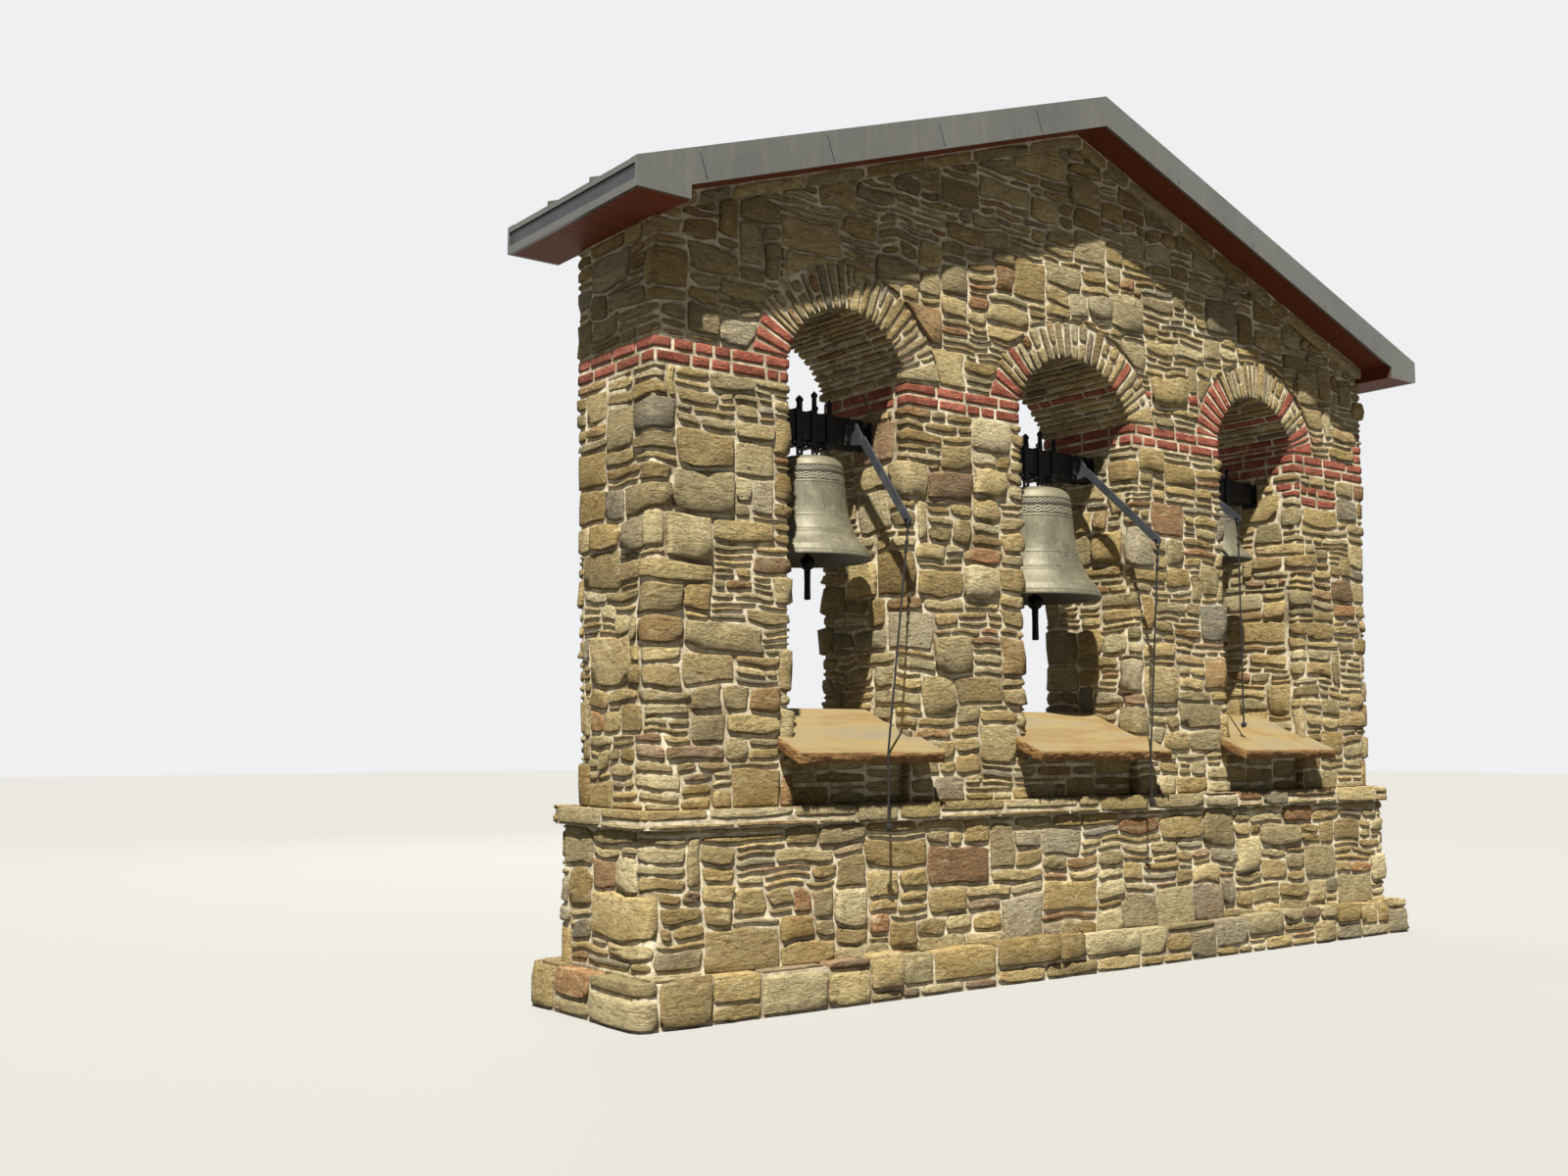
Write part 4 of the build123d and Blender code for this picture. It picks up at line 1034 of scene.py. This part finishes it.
# Bells, sizes in metres as the source has them: mouth's radius, heights of lip, shoulder and beam's underside,
# clapper's ball, height of its tail and the tail's radius, lever's way along the beam, shackle's pin, rope's place on
# the sill's nose if it lies there, height of its knot
BELLS = (
    (0.391, 2.548, 3.168, 3.271, 0.046, 2.313, 0.020, 0.296, (-0.582, 2.760), (0.066, -0.656, 1.392), 0.985),
    (0.451, 2.421, 3.169, 3.271, 0.054, 2.146, 0.023, 0.377, (-0.753, 2.782), (0.362, -0.668, 1.392), 1.075),
    (0.275, 2.828, 3.205, 3.290, 0.034, 2.640, 0.015, -0.287, (-0.430, 3.076), None, 1.580),
)
AXLE = 3.36
BEAM_TOP = 3.452
BEAM_DEPTH = 0.130
BELL_COLUMNS = 88
INSIDE_ROWS = 32
BOW, BOW_WIRE = 0.020, 0.0045
# Mouldings of a bell: the share of its height, the reach along it and the rise off the wall, in mouth radii
MOULDINGS = (
    (0.052, 0.006, 0.0070), (0.108, 0.008, 0.0055), (0.243, 0.007, 0.0075), (0.268, 0.006, 0.0065),
    (0.405, 0.005, 0.0045), (0.738, 0.007, 0.0065), (0.846, 0.008, 0.0075), (0.903, 0.010, 0.0090),
)


def bell_sides(mouth, height):
    """Profile of a bell from the crown's underside down inside, round the lip, and up outside to the head."""
    curve = through(
        [(1.0, 0.012), (0.985, 0.040), (0.955, 0.080), (0.80, 0.20), (0.655, 0.42), (0.59, 0.70), (0.560, 0.905)], 400
    )
    marks = [share + reach * np.array([-2, -1.2, -0.6, 0, 0.6, 1.2, 2]) for share, reach, _ in MOULDINGS]
    share = np.sort(np.concatenate([np.linspace(0.015, 0.90, 46), *marks]))
    share = share[(share > 0.013) & (share < 0.918)]
    radius = np.interp(share, curve[:, 1], curve[:, 0])
    for place, reach, rise in MOULDINGS:
        radius = radius + rise * np.exp(-(((share - place) / reach) ** 2))
    head = through([(0.549, 0.925), (0.535, 0.950), (0.49, 0.980), (0.40, 1.006), (0.25, 1.014), (0.02, 1.016)], 16)
    crown = 1 - 0.09 * mouth / height
    inside = through(
        [(0.02, crown), (0.30, crown), (0.45, crown - 0.012), (0.53, 0.68), (0.59, 0.42), (0.70, 0.20), (0.85, 0.06),
         (0.95, 0.004)], 30,
    )
    lip = [(0.975, 0.0), (0.992, 0.003)]
    whole = np.concatenate([inside[:1] * (0, 1), inside, lip, np.stack([radius, share], -1), head, head[-1:] * (0, 1)])
    return whole * (mouth, height)


def strands(route, radius, offset, pitch, sides=6):
    """Three round strands laid round a route: each turns about it once in a pitch, a third of a turn apart."""
    heading = unit(np.gradient(route, axis=0))
    beside = unit(np.cross(heading, EAST))
    turn = FULL * (ways_along(route) / pitch + np.arange(3)[:, None] / 3)[..., None]
    return tubes(route + offset * (np.cos(turn) * beside + np.sin(turn) * np.cross(heading, beside)), radius, sides)


def wound(place, radius, thickness, turns, reach):
    """A knot: a bar wound round a core, its ends tucked in. It runs on a helix whose radius shrinks at the ends."""
    share = np.linspace(0, 1, int(turns * 16))
    angle = FULL * turns * share
    tuck = np.clip(np.minimum(share, 1 - share) / 0.14, 0, 1)
    round_by = radius * (0.35 + 0.65 * np.sin(tuck * math.pi / 2)) * (0.86 + 0.14 * np.sin(math.pi * share))
    path = xyz(round_by * np.cos(angle), round_by * np.sin(angle), reach * (share - 0.5))
    return tubes(path + place, thickness, 8, UP)


def route_line(name, points):
    """The rope's own line: a smooth curve with these points as its control points, read as a row of places."""
    curve = bpy.data.curves.new(name, "CURVE")
    curve.dimensions = "3D"
    curve.resolution_u = 40
    spline = curve.splines.new("NURBS")
    spline.points.add(len(points) - 1)
    for point, place in zip(spline.points, points):
        point.co = (*place, 1)
    spline.order_u = 3
    spline.use_endpoint_u = True
    holder = link(bpy.data.objects.new(name, curve))
    line = bpy.data.meshes.new_from_object(holder)
    places = np.empty(len(line.vertices) * 3)
    line.vertices.foreach_get("co", places)
    bpy.data.objects.remove(holder)
    bpy.data.meshes.remove(line)
    return places.reshape(-1, 3)


def evenly(route, step):
    """The same line with places a step apart, and its length."""
    way = ways_along(route)
    spots = np.linspace(0, way[-1], int(way[-1] / step))
    return xyz(*(np.interp(spots, way, line) for line in route.T)), way[-1]


def bolts(spots, facing):
    """A washer and a hexagon head at each spot."""
    washer = [(0, -0.001), (0.019, -0.001), (0.019, 0.0025), (0, 0.0025)]
    hexagon = [(0, 0), (0.0135, 0), (0.0135, 0.008), (0.0115, 0.010), (0, 0.010)]
    return [turned(spots, washer, 20, facing), turned(spots, hexagon, 6, facing)]


IRON = "black_painted_iron"
for number, (bell, axis_x, width) in enumerate(zip(BELLS, AXES, WIDTHS), start=1):
    mouth, lip, shoulder, beam_low, ball, low, tail, lever, (eye_y, eye_z), nose, knot_z = bell
    swing = f"bell_{number}_swing"
    height = shoulder - lip
    crown_inner = shoulder - 0.09 * mouth
    pivot = crown_inner - 0.17 * mouth
    profile = bell_sides(mouth, height)
    shell = turned((axis_x, 0, lip), profile, BELL_COLUMNS)
    about = shell[0] - (axis_x, 0, lip)
    reach = np.maximum(np.hypot(about[:, 0], about[:, 1]), 1e-6)
    outer = np.repeat([0, 1], [INSIDE_ROWS * BELL_COLUMNS, (len(profile) - 2 - INSIDE_ROWS) * BELL_COLUMNS])
    cast = add_mesh(
        f"bell_{number}_cast", swing, "bell_bronze", shell,
        values={"east": about[:, 0] / reach, "north": about[:, 1] / reach, "rise": about[:, 2] / height,
                "outer": np.concatenate([outer, [0, 1]])},
    )
    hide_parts(f"bell_{number}")

    # Crown loops, each a bar that rises from the head, bends over and comes down, with wider feet
    bar = 0.045 * mouth
    loop_half = 0.11 * mouth
    loop_rise = beam_low - 0.0003 - loop_half - bar / 2
    turn = np.linspace(math.pi, 0, 15)
    leg = np.linspace(0, 1, 8)[:-1]
    foot = shoulder + 0.006
    flare = 0.075 * mouth * (1 - leg) ** 2
    over = xyz(loop_half * np.cos(turn), 0, loop_rise + loop_half * np.sin(turn))
    loops = []
    for place in (-1, 0, 1):
        left, right = (
            xyz(side * (loop_half + flare * (1.6 if place == side else 0.5)), 0, foot + (loop_rise - foot) * leg)
            for side in (-1, 1)
        )
        loops.append(np.concatenate([left, over, right[::-1]]) + (axis_x + place * 0.30 * mouth, 0, 0))
    thick = 1.7 - 0.7 * leg
    crown = tubes(loops, np.concatenate([thick, np.ones(15), thick[::-1]]) * bar / 2, 12, NORTH)
    ears = [[(axis_x + s, 0, z) for z in np.linspace(crown_inner + 0.003, pivot, 4)] for s in (-0.026, 0.026)]
    pin = both_ways([(0, -0.036), (0.012, -0.036), (0.012, -0.031), (0.009, -0.031)])
    add_mesh(
        f"bell_{number}_crown_loops", swing, "bell_bronze", crown, tubes(ears, 0.0085),
        turned((axis_x, 0, pivot), pin, 20, "east"), finish=dark_bronze,
    )

    # Clapper: a forged rod with its ball, and a straight tail below it
    ball_z = lip - 0.02 * height
    swell = np.linspace(math.acos(0.62 * tail / ball), -math.acos(tail / ball), 15)
    side = [(ball * math.cos(a), ball_z + ball * math.sin(a)) for a in swell]
    rod = [(0.62 * tail * w, pivot - 0.02 - (pivot - 0.02 - side[0][1]) * s) for w, s in
           ((1.0, 0.0), (1.25, 0.05), (1.0, 0.15), (0.95, 0.5), (1.0, 0.85), (1.12, 0.97))]
    last = [(tail, side[-1][1] - 0.012), (tail * 0.93, (low + ball_z) / 2), (tail, low + 0.012),
            (tail * 0.97, low + 0.003), (tail * 0.85, low)]
    outline = [(0, rod[0][1]), *rod, *side, *last, (0, low)]
    eye = both_ways([(0, -0.018), (0.019, -0.018), (0.024, -0.013)])
    made = add_mesh(
        f"clapper_{number}_forged", f"bell_{number}_clapper", IRON, turned((axis_x, 0, 0), outline[::-1], 28),
        turned((axis_x, 0, pivot), eye, 28, "east"),
    )
    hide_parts(f"clapper_{number}")

    # Crest of nuts and knobs over the straps, and bolts on the lever's plate and on the bearings
    crest = []
    nut = [(0, -0.001), (0.021, -0.001), (0.021, 0.004), (0.0165, 0.005), (0.0175, 0.009), (0.0175, 0.024),
           (0.0160, 0.027), (0, 0.027)]
    knob = [(0.0150, -0.016), (0.0195, -0.011), (0.0215, -0.002), (0.0190, 0.007), (0.0120, 0.013), (0.0080, 0.018),
            (0.0050, 0.022), (0, 0.0240)]
    for place, neck in ((-1, 0.054), (0, 0.094), (1, 0.054)):
        spots = [(axis_x + place * 0.30 * mouth, s * (BEAM_DEPTH / 2 + 0.0053), BEAM_TOP + 0.0103) for s in (-1, 1)]
        whole = [(0, 0.020), (0.0150, 0.020)] + [(radius, neck + way) for radius, way in knob]
        crest += [turned(spots, nut, 6), turned(spots, whole, 20)]
    add_mesh(f"crest_{number}", swing, IRON, *crest)

    lever_x = axis_x + lever
    middle, half = (beam_low + BEAM_TOP) / 2, (BEAM_TOP - beam_low) / 2 - 0.030
    spots = [(lever_x + sx * 0.036, -BEAM_DEPTH / 2 - 0.0003 - 0.010, middle + sz * half) for sx, sz in SQUARE]
    add_mesh(f"lever_{number}_bolts", swing, IRON, *bolts(spots, "front"), smooth=False)
    heads = []
    for facing, side in (("east", -1), ("west", 1)):
        jamb_x = axis_x + side * (width / 2 - 0.012)
        heads += bolts([(jamb_x, sy * 0.049, AXLE + sz * 0.071) for sy, sz in SQUARE], facing)
    add_mesh(f"bearings_{number}_bolts", "tower", IRON, *heads, smooth=False)

    # Shackle: a bent bow with eyes round its pin
    bow_z = eye_z - 0.024
    turn = np.linspace(math.pi, FULL, 17)
    leg = np.linspace(eye_z, bow_z, 4)[:-1]
    left = xyz(-BOW, 0, leg)
    bow = xyz(BOW * np.cos(turn), 0, bow_z + BOW * np.sin(turn))
    path = np.concatenate([left, bow, (left * (-1, 1, 1))[::-1]]) + (lever_x, eye_y, 0)
    made = add_mesh(
        f"shackle_{number}_bent", swing, IRON, tubes(path, BOW_WIRE, 12, NORTH),
        turned([(lever_x + s, eye_y, eye_z) for s in (-BOW, BOW)],
               both_ways([(0, -0.0045), (0.0075, -0.0045), (0.009, -0.003)]), 20, "east"),
        turned((lever_x, eye_y, eye_z), [(0, -0.029), (0.0035, -0.029), (0.0035, 0.026), (0, 0.026)], 16, "east"),
        turned((lever_x + 0.0245, eye_y, eye_z), [(0, 0), (0.007, 0), (0.007, 0.0045), (0, 0.0045)], 6, "east"),
    )
    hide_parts(f"shackle_{number}")

    # Rope: from the shackle over the nose of the sill to its knot, or straight down to it
    top = np.array([lever_x, eye_y, bow_z - BOW - BOW_WIRE - 0.0009])
    if nose:
        start = np.array(nose) + (axis_x, 0, 0)
        end = np.array([start[0], start[1], knot_z])
        control = [top, start + (top - start) * 0.084 / np.linalg.norm(top - start), start, start - 0.084 * UP, end]
    else:
        start = end = np.array([top[0], top[1], knot_z])
        control = [top, top - 0.084 * UP, end]
    route, long = evenly(route_line(f"rope_{number}_route", control), 0.0042)
    rope = add_mesh(f"rope_{number}_laid", None, "black_rope", strands(route, 0.0041, 0.0031, 0.046))
    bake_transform(rope)
    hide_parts(f"rope_{number}")
    knot = add_mesh(f"rope_{number}_knot", "tower", "black_rope", wound(end, 0.0150, 0.0066, 3.4, 0.030))
    down = unit(route[30] - route[0])
    small = [wound(top + down * way, 0.0088, 0.0040, 3.2, 0.022) for way in (0.030, 0.085, 0.140)]
    turn = np.linspace(0, FULL, 25)
    ring = top + xyz(0, 0.0105 * np.sin(turn), 0.0009 + BOW_WIRE + 0.0105 * np.cos(turn))
    tie = add_mesh(f"rope_{number}_tie", None, "black_rope", *small, tubes(ring, 0.0040, 8))
    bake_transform(tie)


def shown(first, second):
    """The first for what lights the object, the second for what is looked at, straight, mirrored or through glass."""
    rays = node("ShaderNodeLightPath").outputs
    return mix(most(most(rays["Is Camera Ray"], rays["Is Glossy Ray"]), rays["Is Transmission Ray"]), first, second)


# Floor, camera and lights
corners = np.array([(-60, -60, 0), (60, -60, 0), (60, 60, 0), (-60, 60, 0)])
begin("pale_floor")
floor_mesh = add_mesh(
    "floor", None, None, (corners, [np.array([[0, 1, 2, 3]])]), smooth=False,
    finish=finished(shown((100, 98, 94), (156, 156, 155)), 0.9),
)

camera = link(bpy.data.objects.new("camera", bpy.data.cameras.new("camera")))
camera.data.lens = 35.28
camera.data.sensor_width = 36
camera.data.clip_end = 300
camera.location = (-7.669, -7.274, 1.47)
camera.rotation_euler = Vector((0.6017, 0.7926, 0.0985)).to_track_quat("-Z", "Y").to_euler()
bpy.context.scene.camera = camera


def lamp(name, kind, place, aim, **settings):
    """A soft lamp that points from one place at another."""
    made = link(bpy.data.objects.new(name, bpy.data.lights.new(name, kind)))
    for key, value in settings.items():
        setattr(made.data, key, value)
    made.location = place
    made.rotation_euler = (Vector(aim) - Vector(place)).to_track_quat("-Z", "Y").to_euler()


lamp("key", "SUN", (-6.5, -6.9, 16.6), (0, 0, 2.2), angle=0.02, energy=8.5, color=(1.0, 0.97, 0.90))
lamp("fill", "AREA", (8.0, -11.0, 5.0), (0, 0, 2.5), size=8.0, energy=50, color=(0.94, 0.97, 1.0))
lamp("back", "AREA", (3.0, 12.0, 9.0), (0, 0, 2.5), size=7.0, energy=420, color=(0.97, 0.98, 1.0))

bpy.context.scene.world = bpy.data.worlds.new("studio")
begin(bpy.context.scene.world)
sky = shown((0.048, 0.050, 0.054, 1), (0.86, 0.87, 0.88, 1))
wire(current.node_tree.nodes["Background"], [("Color", sky), ("Strength", 1.0)])
bpy.context.scene.view_settings.view_transform = "Standard"
